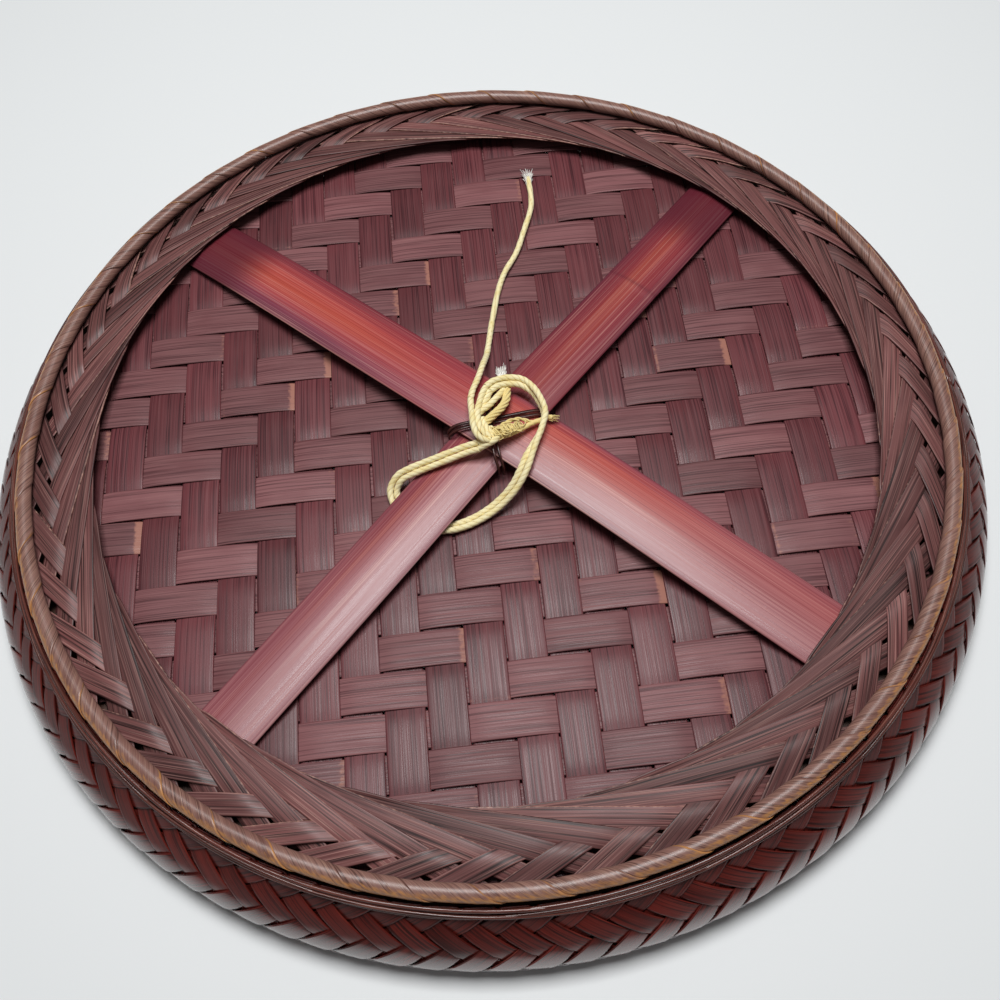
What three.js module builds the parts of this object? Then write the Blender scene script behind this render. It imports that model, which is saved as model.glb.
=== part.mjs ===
// Round woven bamboo tray, lying base up on its mouth edge.
// Millimetres, +Z up, origin on the table under the tray's centre.
import * as THREE from "three";

// Driving dimensions: the round outline
const ROUND_SEGMENTS = 48;
const CLEARANCE = 0.3;
const BASE_HEIGHT = 33;
const OPENING_RADIUS = 183;
const COLLAR_WIDTH = 33;
const WALL_FLARE = 24;

// Side wall: a woven skin that folds round the mouth hoop and ends in a hem
const WALL_THICKNESS = 1.6;
const WALL_TOP_OVERHANG = 4.1;
const WALL_TOP_RISE = 3.1;
const WALL_BULGE_HEIGHT = 16;
const FOLD_RADIUS = 5.8;
const FOLD_FLAT = 2;
const HEM_HEIGHT = 8;
const FLARE_STEPS = 4;
const FOLD_STEPS = 3;

// Collar: a woven ring that slopes from the opening to under the foot hoop
const COLLAR_THICKNESS = 2.8;
const COLLAR_EDGE_RISE = 8.5;
const COLLAR_SHOULDER_DROP = 1.6;
const COLLAR_SHOULDER_INSET = 11;
const COLLAR_FLANGE_INSET = 3.2;
const COLLAR_FLANGE_REACH = 2.8;
const COLLAR_FLANGE_THICKNESS = 4.2;

// Hoops
const FOOT_HOOP_DIAMETER = 2.8;
const WRAP_THICKNESS = 0.7;
const WRAP_PLAY = 1.1;
const WRAP_TURNS = 50;
const WRAP_TURN_GAP = 0.8;
const WRAP_STEPS_PER_TURN = 6;
const BASE_HOOP_WIDTH = 12;
const BASE_HOOP_HEIGHT = 4;
const STRAND_DIAMETER = 2.2;
const STRAND_COUNT = 2;
const STRAND_START = 0.6;
const ROUND_HOOP_SIDES = 6;
const STRAND_SIDES = 5;

// Base mat: flat warp strips, and weft strips that pass over two and under two
const STRIP_WIDTH = 16.2;
const STRIP_THICKNESS = 0.7;
const WARP_PITCH = 17.87;
const WEFT_PITCH = 17.35;
const WARP_SHIFT = 0.4;
const WEFT_SHIFT = -0.4;
const MAT_TURN_DEGREES = 2.5;
const MAT_INSET = 4;
const TWILL_FLOAT = 2;

// Cross slats: two bowed bamboo slats with a crowned upper face
const SLAT_CROWN = 3.4;
const SLAT_EDGE = 2;
const SLAT_END_GAP = 5;
const SLAT_STEPS = 10;
const SLAT_CROWN_POINTS = 4;
const LOWER_SLAT = { width: 28, degrees: 48.4, offset: -9.7, bow: 4.6 };
const UPPER_SLAT = { width: 32.5, degrees: 139, offset: -0.5 };

// Lashing: two flat splints bound diagonally round both slats where they cross
const LASHING_WIDTH = 2;
const LASHING_THICKNESS = 0.9;
const LASHING_END_GAP = 1.5;
const LASHING_STEPS = 36;
const LASHING_CORNER = 2.4;

// Cord: points are [x, y, height above the mat], chosen along the photographed lay
const CORD_DIAMETER = 3;
const CORD_SIDES = 8;
const CORD_STEP = 6.8;
const CORD_PAIR_SPACING = 3.6;
const KNOT_CENTRE = [3, -8.5, 19.1];
const KNOT_RADII = [9.8, 12.8, 4.4];
const KNOT_SEGMENTS = [12, 8];
const CORD_TAIL_ROUTE = [
  [-5.6, 1.4, 19.4],
  [-4.4, 7, 18.2],
  [-2.6, 12.4, 16.6],
  [-0.8, 18.2, 15],
  [0.8, 24.4, 13],
  [2.1, 30.6, 9],
  [3.2, 37.2, 4.4],
  [4.6, 46.1, 2.1],
  [7, 59.7, 1.9],
  [11.7, 80.6, 1.9],
  [15.2, 90.5, 1.9],
  [22, 103.2, 1.9],
  [27.3, 118.8, 1.9],
  [32.3, 136.2, 1.9],
  [32.1, 156.1, 1.9],
];
const CORD_LOOP_ROUTE = [
  [2.7, 6.6, 19],
  [6.4, 10, 18.2],
  [12, 11.5, 17.6],
  [18.3, 10.6, 17.2],
  [23.3, 6.2, 17],
  [26.9, -0.9, 16.7],
  [28.2, -7.4, 16.4],
  [26.4, -14.6, 16],
  [21.8, -23.6, 15.2],
  [18.4, -30.6, 14.2],
  [16, -35.6, 12.9],
  [12.6, -40.2, 9.6],
  [8, -44, 6],
  [2.8, -47.4, 3.2],
  [-3.8, -51.2, 2],
  [-10.7, -54.4, 1.9],
  [-18.3, -56, 1.9],
  [-26, -55.6, 1.9],
  [-33, -52.2, 1.9],
  [-38.6, -46.8, 1.9],
  [-43, -40.2, 1.9],
  [-43.5, -35.2, 3.8],
  [-40.2, -31.2, 7.4],
  [-34.4, -29.3, 9.4],
  [-28.6, -27.6, 10.4],
  [-22.4, -25.8, 11.2],
  [-15.4, -23.8, 12.2],
  [-8.8, -22.3, 13.6],
  [-3, -21.8, 15.2],
];

// Finishes
const FINISHES = {
  warp: { color: 0x63393c, roughness: 0.55 },
  weft: { color: 0x775a5c, roughness: 0.6 },
  collar: { color: 0x5b3c3a, roughness: 0.6 },
  wall: { color: 0x4f241f, roughness: 0.4 },
  hoop: { color: 0x8a6248, roughness: 0.55 },
  strand: { color: 0x5a3426, roughness: 0.5 },
  slat: { color: 0x9c4540, roughness: 0.4 },
  lashing: { color: 0x3a1f18, roughness: 0.5 },
  cord: { color: 0xe0cd94, roughness: 0.95 },
};
const materials = Object.fromEntries(
  Object.entries(FINISHES).map(([name, finish]) => [
    name,
    new THREE.MeshStandardMaterial({ ...finish, metalness: 0 }),
  ]),
);

// Radii and heights that follow from the driving dimensions
const hoopRingRadius = OPENING_RADIUS + COLLAR_WIDTH;
const mouthRadius = hoopRingRadius + WALL_FLARE;
const matRadius = hoopRingRadius - MAT_INSET;
const collarShoulder = hoopRingRadius - COLLAR_SHOULDER_INSET;
const slatReach = collarShoulder - SLAT_END_GAP;
const stripRise = STRIP_THICKNESS + CLEARANCE;
const matMiddle = BASE_HEIGHT - stripRise - STRIP_THICKNESS / 2;
const matUnderside = matMiddle - stripRise - STRIP_THICKNESS / 2;
const hoopSection = FOOT_HOOP_DIAMETER / 2;
const wrapInner = hoopSection + WRAP_PLAY;
const wrapOuter = wrapInner + WRAP_THICKNESS;
const flangeUnder = BASE_HEIGHT + CLEARANCE;
const flangeTop = flangeUnder + COLLAR_FLANGE_THICKNESS;
const hoopHeight = flangeTop + CLEARANCE + wrapOuter;
const slatSeat = BASE_HEIGHT + CLEARANCE;
const upperBow = LOWER_SLAT.bow + SLAT_CROWN + CLEARANCE;

const tray = new THREE.Group();

function addMesh(parent, name, geometry, finish) {
  const mesh = new THREE.Mesh(geometry, materials[finish]);
  mesh.name = name;
  parent.add(mesh);
  return mesh;
}

// A ring turned about +Z from a closed outline of [radius, height] points, outline anticlockwise
function turned(outline) {
  const closed = [...outline, outline[0]].map(([radius, height]) => new THREE.Vector2(radius, height));
  return new THREE.LatheGeometry(closed, ROUND_SEGMENTS).rotateX(Math.PI / 2);
}

// A round hoop's outline: a regular polygon about its centre
function roundOutline(radius, height, sectionRadius, sides) {
  return Array.from({ length: sides }, (_, side) => {
    const angle = (2 * Math.PI * side) / sides;
    return [radius + sectionRadius * Math.cos(angle), height + sectionRadius * Math.sin(angle)];
  });
}

// A box with cross cuts along Y whose corners are placed by station, side (-1 or 1) and face (-1 or 1)
function bentBox(steps, place) {
  const geometry = new THREE.BoxGeometry(2, steps, 2, 1, steps, 1);
  const corner = geometry.attributes.position;
  for (let index = 0; index < corner.count; index += 1) {
    const station = Math.round(corner.getY(index) + steps / 2);
    const point = place(station, corner.getX(index), corner.getZ(index));
    corner.setXYZ(index, point.x, point.y, point.z);
  }
  geometry.computeVertexNormals();
  return geometry;
}

// Side wall
function wallLine() {
  const hang = WALL_THICKNESS / 2;
  const equator = mouthRadius - hang;
  const foldHeight = hang + FOLD_RADIUS;
  const outerCentre = equator - FOLD_RADIUS;
  const innerCentre = outerCentre - FOLD_FLAT;
  const top = new THREE.Vector2(hoopRingRadius + WALL_TOP_OVERHANG, BASE_HEIGHT + WALL_TOP_RISE);
  const bulge = new THREE.Vector2(equator, WALL_BULGE_HEIGHT);
  const foldStart = new THREE.Vector2(equator, foldHeight);
  const hemStart = new THREE.Vector2(innerCentre - FOLD_RADIUS, foldHeight);
  const hemEnd = new THREE.Vector2(hemStart.x, foldHeight + HEM_HEIGHT);
  const flare = new THREE.QuadraticBezierCurve(top, bulge, foldStart);
  const outerFold = new THREE.EllipseCurve(
    outerCentre, foldHeight, FOLD_RADIUS, FOLD_RADIUS, 0, -Math.PI / 2, true,
  );
  const innerFold = new THREE.EllipseCurve(
    innerCentre, foldHeight, FOLD_RADIUS, FOLD_RADIUS, -Math.PI / 2, -Math.PI, true,
  );
  const hem = new THREE.LineCurve(hemStart, hemEnd);
  const samples = [];
  const sample = (curve, first, steps) => {
    for (let step = first; step <= steps; step += 1) {
      const share = step / steps;
      samples.push({ point: curve.getPoint(share), tangent: curve.getTangent(share) });
    }
  };
  sample(flare, 0, FLARE_STEPS);
  sample(outerFold, 1, FOLD_STEPS);
  sample(innerFold, 0, FOLD_STEPS);
  sample(hem, 1, 1);
  return { samples, flare };
}

function sheetOutline(samples, thickness) {
  const side = (sign) =>
    samples.map(({ point, tangent }) => [
      point.x - (sign * tangent.y * thickness) / 2,
      point.y + (sign * tangent.x * thickness) / 2,
    ]);
  return [...side(-1), ...side(1).reverse()];
}

const wall = wallLine();
addMesh(tray, "side_wall", turned(sheetOutline(wall.samples, WALL_THICKNESS)), "wall");

// Mouth hoop, held in the wall's fold
const mouthHoopRadius = FOLD_RADIUS - WALL_THICKNESS / 2 - CLEARANCE;
addMesh(
  tray,
  "mouth_hoop",
  turned(
    roundOutline(
      mouthRadius - WALL_THICKNESS / 2 - FOLD_RADIUS - FOLD_FLAT / 2,
      WALL_THICKNESS / 2 + FOLD_RADIUS,
      mouthHoopRadius,
      ROUND_HOOP_SIDES,
    ),
  ),
  "hoop",
);

// Base hoop, a flat ring under the mat's edge
const baseHoopTop = matUnderside - CLEARANCE;
const baseHoopOuter = hoopRingRadius + COLLAR_FLANGE_REACH;
addMesh(
  tray,
  "base_hoop",
  turned([
    [baseHoopOuter - BASE_HOOP_WIDTH, baseHoopTop - BASE_HOOP_HEIGHT],
    [baseHoopOuter, baseHoopTop - BASE_HOOP_HEIGHT],
    [baseHoopOuter, baseHoopTop],
    [baseHoopOuter - BASE_HOOP_WIDTH, baseHoopTop],
  ]),
  "hoop",
);

// Collar, from the opening down to a flange on the mat's edge, under the foot hoop
function collarOutline() {
  const edgeTop = BASE_HEIGHT + COLLAR_EDGE_RISE;
  const shoulderTop = edgeTop - COLLAR_SHOULDER_DROP;
  const flangeStart = hoopRingRadius - COLLAR_FLANGE_INSET;
  const flangeEnd = hoopRingRadius + COLLAR_FLANGE_REACH;
  return [
    [OPENING_RADIUS, edgeTop - COLLAR_THICKNESS],
    [collarShoulder, shoulderTop - COLLAR_THICKNESS],
    [flangeStart, flangeUnder],
    [flangeEnd, flangeUnder],
    [flangeEnd, flangeTop],
    [flangeStart, flangeTop],
    [collarShoulder, shoulderTop],
    [OPENING_RADIUS, edgeTop],
  ];
}
addMesh(tray, "collar", turned(collarOutline()), "collar");

// Foot hoop and the strip wound round it
addMesh(
  tray,
  "foot_hoop",
  turned(roundOutline(hoopRingRadius, hoopHeight, hoopSection, ROUND_HOOP_SIDES)),
  "hoop",
);

const wrapSteps = WRAP_TURNS * WRAP_STEPS_PER_TURN - 1;
const turnAngle = (2 * Math.PI) / WRAP_TURNS;
const wrapAngle = turnAngle - WRAP_TURN_GAP / (hoopRingRadius - wrapOuter);

function wrapPoint(station, side, face) {
  const wound = -Math.PI / 2 - (2 * Math.PI * station) / WRAP_STEPS_PER_TURN;
  const round = (turnAngle * station) / WRAP_STEPS_PER_TURN - (side * wrapAngle) / 2;
  const depth = face > 0 ? wrapOuter : wrapInner;
  const radius = hoopRingRadius + depth * Math.cos(wound);
  return new THREE.Vector3(
    radius * Math.cos(round),
    radius * Math.sin(round),
    hoopHeight + depth * Math.sin(wound),
  );
}

function wrapSelfGap() {
  let least = Infinity;
  for (let station = 0; station <= wrapSteps - WRAP_STEPS_PER_TURN; station += 1) {
    const leading = wrapPoint(station, -1, 1);
    for (const step of [-1, 0, 1]) {
      const next = station + WRAP_STEPS_PER_TURN + step;
      const trailing = wrapPoint(next, 1, 1);
      least = Math.min(least, leading.distanceTo(trailing));
    }
  }
  return least;
}
addMesh(tray, "foot_hoop_wrap", bentBox(wrapSteps, wrapPoint), "hoop");
console.log("foot_hoop_wrap least gap between turns", wrapSelfGap().toFixed(2), "mm");

// Strands that run round the outside of the wall just under the foot hoop
const strandRadius = STRAND_DIAMETER / 2;
const strandStep = STRAND_DIAMETER + CLEARANCE;
const flareLength = wall.flare.getLength();
for (let strand = 0; strand < STRAND_COUNT; strand += 1) {
  const share = (STRAND_START + strand * strandStep) / flareLength;
  const seat = wall.flare.getPointAt(share);
  const along = wall.flare.getTangentAt(share);
  const lift = WALL_THICKNESS / 2 + CLEARANCE + strandRadius;
  const outline = roundOutline(seat.x - along.y * lift, seat.y + along.x * lift, strandRadius, STRAND_SIDES);
  addMesh(tray, `foot_strand_${strand + 1}`, turned(outline), "strand");
}

// Base mat
const mat = new THREE.Group();
mat.rotation.z = THREE.MathUtils.degToRad(MAT_TURN_DEGREES);
tray.add(mat);

function stripsShown(pitch, shift) {
  const most = Math.ceil(matRadius / pitch);
  const strips = [];
  for (let index = -most; index <= most; index += 1) {
    const offset = (index + shift) * pitch;
    const outer = Math.abs(offset) + STRIP_WIDTH / 2;
    const shows = outer - STRIP_WIDTH < OPENING_RADIUS;
    if (shows) {
      strips.push({ index, offset, halfLength: Math.sqrt(matRadius ** 2 - outer ** 2) });
    }
  }
  return strips;
}

function twillOver(weftIndex, warpIndex) {
  const period = 2 * TWILL_FLOAT;
  const phase = (((warpIndex - weftIndex + 1) % period) + period) % period;
  return phase < TWILL_FLOAT;
}

// Stations of one weft strip: the ends of each flat float, over or under the warp strips
function weftStations(weft) {
  const first = Math.floor(-weft.halfLength / WARP_PITCH - WARP_SHIFT);
  const last = Math.ceil(weft.halfLength / WARP_PITCH - WARP_SHIFT);
  const stations = [];
  const heightAt = (warpIndex) => (twillOver(weft.index, warpIndex) ? stripRise : -stripRise);
  stations.push({ along: -weft.halfLength, height: heightAt(first + 1) });
  for (let warpIndex = first + 1; warpIndex < last; warpIndex += 1) {
    const before = heightAt(warpIndex);
    const after = heightAt(warpIndex + 1);
    if (before !== after) {
      const middle = (warpIndex + WARP_SHIFT + 0.5) * WARP_PITCH;
      const half = (WARP_PITCH - STRIP_WIDTH) / 2;
      stations.push({ along: middle - half, height: before });
      stations.push({ along: middle + half, height: after });
    }
  }
  const inside = stations.filter(({ along }) => Math.abs(along) <= weft.halfLength);
  inside.push({ along: weft.halfLength, height: inside.at(-1).height });
  return inside;
}

const stripName = (family, position) => `mat_${family}_${String(position + 1).padStart(2, "0")}`;

stripsShown(WARP_PITCH, WARP_SHIFT).forEach((strip, position) => {
  const geometry = new THREE.BoxGeometry(STRIP_WIDTH, 2 * strip.halfLength, STRIP_THICKNESS);
  const mesh = addMesh(mat, stripName("warp", position), geometry, "warp");
  mesh.position.set(strip.offset, 0, matMiddle);
});

stripsShown(WEFT_PITCH, WEFT_SHIFT).forEach((strip, position) => {
  const stations = weftStations(strip);
  const geometry = bentBox(stations.length - 1, (station, side, face) => {
    const { along, height } = stations[station];
    return new THREE.Vector3(
      along,
      strip.offset - (side * STRIP_WIDTH) / 2,
      matMiddle + height + (face * STRIP_THICKNESS) / 2,
    );
  });
  addMesh(mat, stripName("weft", position), geometry, "weft");
});

// Cross slats
function slatShape(width) {
  const half = width / 2;
  const shape = new THREE.Shape();
  shape.moveTo(-half, 0);
  shape.lineTo(half, 0);
  for (let point = 0; point <= SLAT_CROWN_POINTS; point += 1) {
    const across = half - (width * point) / SLAT_CROWN_POINTS;
    const crown = SLAT_EDGE + (SLAT_CROWN - SLAT_EDGE) * (1 - (across / half) ** 2);
    shape.lineTo(across, crown);
  }
  shape.closePath();
  return shape;
}

function slatHalfLength(slat) {
  const outer = Math.abs(slat.offset) + slat.width / 2;
  return Math.sqrt(slatReach ** 2 - outer ** 2);
}

function addSlat(name, slat, bow) {
  const halfLength = slatHalfLength(slat);
  const geometry = new THREE.ExtrudeGeometry(slatShape(slat.width), {
    depth: 2 * halfLength,
    steps: SLAT_STEPS,
    bevelEnabled: false,
  });
  geometry.translate(0, 0, -halfLength).rotateX(Math.PI / 2).rotateZ(Math.PI / 2);
  const corner = geometry.attributes.position;
  for (let index = 0; index < corner.count; index += 1) {
    const share = corner.getX(index) / halfLength;
    corner.setZ(index, corner.getZ(index) + bow * (1 - share ** 2));
  }
  geometry.computeVertexNormals();
  const mesh = addMesh(tray, name, geometry, "slat");
  const turn = THREE.MathUtils.degToRad(slat.degrees);
  mesh.rotation.z = turn;
  mesh.position.set(-slat.offset * Math.sin(turn), slat.offset * Math.cos(turn), slatSeat);
  return mesh;
}
addSlat("slat_lower", LOWER_SLAT, LOWER_SLAT.bow);
addSlat("slat_upper", UPPER_SLAT, upperBow);

// Lashing: each splint runs from corner to corner of the crossing, over the top and back under
function slatFrame(slat) {
  const turn = THREE.MathUtils.degToRad(slat.degrees);
  return {
    across: new THREE.Vector2(-Math.sin(turn), Math.cos(turn)),
    offset: slat.offset,
    half: slat.width / 2,
  };
}

function crossingCorner(lowerSide, upperSide) {
  const lower = slatFrame(LOWER_SLAT);
  const upper = slatFrame(UPPER_SLAT);
  const lowerReach = lower.offset + lowerSide * lower.half;
  const upperReach = upper.offset + upperSide * upper.half;
  const scale = lower.across.cross(upper.across);
  return new THREE.Vector2(
    (lowerReach * upper.across.y - upperReach * lower.across.y) / scale,
    (upperReach * lower.across.x - lowerReach * upper.across.x) / scale,
  );
}

function addLashing(name, from, to, layer) {
  const layerStep = LASHING_THICKNESS + CLEARANCE;
  const outset = CLEARANCE + LASHING_THICKNESS / 2 + layer * layerStep;
  const middle = from.clone().add(to).multiplyScalar(0.5);
  const along = to.clone().sub(from);
  const half = along.length() / 2 + CLEARANCE + LASHING_WIDTH / 2 + LASHING_CORNER;
  along.normalize();
  const top = slatSeat + upperBow + SLAT_CROWN + outset;
  const bottom = slatSeat + LOWER_SLAT.bow - outset;
  const place = (distance, height) =>
    new THREE.Vector3(middle.x + along.x * distance, middle.y + along.y * distance, height);
  const path = new THREE.CurvePath();
  const corners = [
    [LASHING_END_GAP, bottom],
    [half, bottom],
    [half, top],
    [-half, top],
    [-half, bottom],
    [-LASHING_END_GAP, bottom],
  ];
  let start = place(...corners[0]);
  for (let index = 1; index < corners.length; index += 1) {
    const corner = place(...corners[index]);
    const next = corners[index + 1] && place(...corners[index + 1]);
    const before = next ? corner.clone().lerp(start, LASHING_CORNER / corner.distanceTo(start)) : corner;
    path.add(new THREE.LineCurve3(start, before));
    if (next) {
      const after = corner.clone().lerp(next, LASHING_CORNER / corner.distanceTo(next));
      path.add(new THREE.QuadraticBezierCurve3(before, corner, after));
      start = after;
    }
  }
  const shape = new THREE.Shape([
    new THREE.Vector2(-LASHING_THICKNESS / 2, -LASHING_WIDTH / 2),
    new THREE.Vector2(LASHING_THICKNESS / 2, -LASHING_WIDTH / 2),
    new THREE.Vector2(LASHING_THICKNESS / 2, LASHING_WIDTH / 2),
    new THREE.Vector2(-LASHING_THICKNESS / 2, LASHING_WIDTH / 2),
  ]);
  const geometry = new THREE.ExtrudeGeometry(shape, { steps: LASHING_STEPS, extrudePath: path });
  addMesh(tray, name, geometry, "lashing");
}
addLashing("slat_lashing_across", crossingCorner(1, 1), crossingCorner(-1, -1), 0);
addLashing("slat_lashing_along", crossingCorner(1, -1), crossingCorner(-1, 1), 1);

// Cord: a doubled loop round the lower slat, a knot on the crossing and one long tail
function cordCurve(route, sideways) {
  const points = route.map(([x, y, height]) => new THREE.Vector3(x, y, BASE_HEIGHT + height));
  const centre = new THREE.CatmullRomCurve3(points, false, "centripetal");
  if (sideways === 0) {
    return centre;
  }
  const shifted = points.map((point, index) => {
    const before = points[Math.max(index - 1, 0)];
    const after = points[Math.min(index + 1, points.length - 1)];
    const heading = new THREE.Vector2(after.x - before.x, after.y - before.y).normalize();
    return new THREE.Vector3(point.x - heading.y * sideways, point.y + heading.x * sideways, point.z);
  });
  return new THREE.CatmullRomCurve3(shifted, false, "centripetal");
}

function addCord(name, route, sideways) {
  const curve = cordCurve(route, sideways);
  const section = Array.from({ length: CORD_SIDES }, (_, side) => {
    const angle = (2 * Math.PI * side) / CORD_SIDES;
    return new THREE.Vector2(Math.cos(angle), Math.sin(angle)).multiplyScalar(CORD_DIAMETER / 2);
  });
  const geometry = new THREE.ExtrudeGeometry(new THREE.Shape(section), {
    steps: Math.ceil(curve.getLength() / CORD_STEP),
    extrudePath: curve,
  });
  addMesh(tray, name, geometry, "cord");
}
addCord("cord_loop_outer", CORD_LOOP_ROUTE, CORD_PAIR_SPACING / 2);
addCord("cord_loop_inner", CORD_LOOP_ROUTE, -CORD_PAIR_SPACING / 2);
addCord("cord_tail", CORD_TAIL_ROUTE, 0);

const knot = addMesh(tray, "cord_knot", new THREE.SphereGeometry(1, ...KNOT_SEGMENTS), "cord");
knot.scale.set(...KNOT_RADII);
knot.position.set(KNOT_CENTRE[0], KNOT_CENTRE[1], BASE_HEIGHT + KNOT_CENTRE[2]);

export default tray;
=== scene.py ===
"""Looks of a round woven bamboo tray that lies base up on its mouth edge, in metres."""
import bisect
import logging
import math
import random
from collections.abc import Callable
from dataclasses import dataclass, field
from enum import Enum

import bmesh
import bpy
from mathutils import Matrix, Vector
from mathutils.geometry import interpolate_bezier


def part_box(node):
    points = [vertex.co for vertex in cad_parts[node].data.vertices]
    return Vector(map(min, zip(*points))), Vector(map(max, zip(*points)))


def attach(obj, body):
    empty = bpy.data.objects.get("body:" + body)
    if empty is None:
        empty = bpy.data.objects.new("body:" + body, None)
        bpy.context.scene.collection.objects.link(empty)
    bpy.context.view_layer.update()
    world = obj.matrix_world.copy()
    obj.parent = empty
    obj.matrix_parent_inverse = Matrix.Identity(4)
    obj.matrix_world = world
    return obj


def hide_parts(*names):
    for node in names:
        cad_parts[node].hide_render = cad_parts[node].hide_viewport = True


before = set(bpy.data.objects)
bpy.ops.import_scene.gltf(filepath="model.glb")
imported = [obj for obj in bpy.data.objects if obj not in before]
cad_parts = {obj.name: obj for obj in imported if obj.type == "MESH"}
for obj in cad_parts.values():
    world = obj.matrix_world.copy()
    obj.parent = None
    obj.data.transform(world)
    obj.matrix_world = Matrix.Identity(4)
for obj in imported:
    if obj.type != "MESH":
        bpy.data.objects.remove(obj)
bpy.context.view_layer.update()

MM = 0.001
FULL_TURN = 2 * math.pi
MAT_TOP = 33 * MM
OPENING_RADIUS = 183 * MM
HOOP_RING_RADIUS = 216 * MM
HOOP_HEIGHT = 41 * MM
LOWER_SLAT_WIDTH = 28 * MM
UPPER_SLAT_WIDTH = 32.5 * MM
WEAVE_REPEAT = 4
WHITE_TONE = 0.0
PLAIN_TONE = 0.5
YELLOW_TONE = 1.0
UV_LAYER = "UVMap"
TONE_LAYER = "tone"
# Per-point marks value: real rubbing and stains, painted highlights on some strips, and on the cord the ply
# crest that sets its painted groove shade.
MARKS_AND_LIGHT_LAYER = "marks_and_light"
TUBE_UV_WIDTH = 10 * MM
NO_LENGTH = 1e-4
BODY = "root"

Colour = tuple[float, float, float, float]
Pair = tuple[float, float]
Triple = tuple[float, float, float]
Placed = tuple[Vector, float]
Route = tuple[Triple, ...]
Bands = tuple[tuple[float, Colour], ...]
Socket = bpy.types.NodeSocket
Material = bpy.types.Material
log = logging.getLogger("woven_tray")


class Side(Enum):
    """Where a sheet's thickness lies, seen from the surface that was placed."""

    BOTH = 0.0
    BELOW = -1.0


class Slot(Enum):
    """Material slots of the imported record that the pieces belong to."""

    WARP = "mat_warp"
    WEFT = "mat_weft"
    COLLAR = "collar"
    WALL = "wall"
    WRAP = "hoop_wrap"
    STRAND = "strand"
    SLAT = "slat"
    LASHING = "lashing"
    CORD = "cord"


def tint(red: float, green: float, blue: float) -> Colour:
    """Gives a shader colour for a colour as seen on a screen.

    Args:
        red: Screen value from 0 to 255.
        green: Screen value from 0 to 255.
        blue: Screen value from 0 to 255.

    Returns:
        The linear colour with full alpha.
    """
    shares = [value / 255 for value in (red, green, blue)]
    linear = [share / 12.92 if share < 0.04045 else ((share + 0.055) / 1.055) ** 2.4 for share in shares]
    return (linear[0], linear[1], linear[2], 1.0)


def bands(*rows: tuple[float, float, float, float]) -> Bands:
    """Turns rows of a place across a slat and a screen colour into colour bands."""
    return tuple((place, tint(*colour)) for place, *colour in rows)


def ease(start: float, end: float, value: float) -> float:
    """Rises smoothly from 0 at start to 1 at end.

    Args:
        start: Value at which the rise begins; it may lie above end.
        end: Value at which the rise is done.
        value: The value to ease.

    Returns:
        A share from 0 to 1.
    """
    share = min(1.0, max(0.0, (value - start) / (end - start)))
    return share * share * (3 - 2 * share)


def weave(position: float, flatness: float) -> float:
    """Gives the height of a strip that passes over two strips and under two.

    Args:
        position: Place along the strip in crossings; 0 to 2 is over, 2 to 4 is under.
        flatness: How flat the tops of the floats are.

    Returns:
        A height from -1 to 1.
    """
    return math.tanh(flatness * math.sin(math.pi * position / 2)) / math.tanh(flatness)


def polar(radius: float, angle: float, height: float) -> Vector:
    """Gives the point at a radius and angle about the tray's axis."""
    return Vector((radius * math.cos(angle), radius * math.sin(angle), height))


def jitter(rng: random.Random, height: float) -> Vector:
    """Draws an offset of up to one either way, and of up to height up or down."""
    return Vector((rng.uniform(-1, 1), rng.uniform(-1, 1), rng.uniform(-height, height)))


def smooth_route(points: list[Vector], per_span: int) -> list[Vector]:
    """Draws a smooth line through points, with the bends spread by the spans' lengths.

    Args:
        points: The points to pass through.
        per_span: Number of pieces between two points.

    Returns:
        The points of the line.
    """
    ends = [points[0] * 2 - points[1], *points, points[-1] * 2 - points[-2]]
    line = [points[0].copy()]
    for before, start, stop, after in zip(ends, ends[1:], ends[2:], ends[3:]):
        first = math.sqrt((start - before).length)
        middle = math.sqrt((stop - start).length)
        last = math.sqrt((after - stop).length)
        straight = (stop - start) / middle
        leave = ((start - before) / first - (stop - before) / (first + middle) + straight) * middle
        arrive = (straight - (after - start) / (middle + last) + (after - stop) / last) * middle
        line += interpolate_bezier(start, start + leave / 3, stop - arrive / 3, stop, per_span + 1)[1:]
    return line


def above_mat(points: Route) -> list[Vector]:
    """Turns points in millimetres, with heights above the mat, into points of the frame."""
    return [Vector((x * MM, y * MM, MAT_TOP + height * MM)) for x, y, height in points]


def add_object(name: str, data: bpy.types.ID) -> bpy.types.Object:
    """Puts something into the scene as a new object.

    Args:
        name: The object's name.
        data: Its mesh, lamp or camera.

    Returns:
        The object.
    """
    made = bpy.data.objects.new(name, data)
    bpy.context.collection.objects.link(made)
    return made


def close_mesh(bm: bmesh.types.BMesh, name: str, material: Material) -> bpy.types.Mesh:
    """Turns gathered faces into a mesh with one material.

    Args:
        bm: The faces; they are freed.
        name: The mesh's name.
        material: Its material.

    Returns:
        The mesh.
    """
    mesh = bpy.data.meshes.new(name)
    bm.to_mesh(mesh)
    bm.free()
    mesh.materials.append(material)
    return mesh


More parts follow.
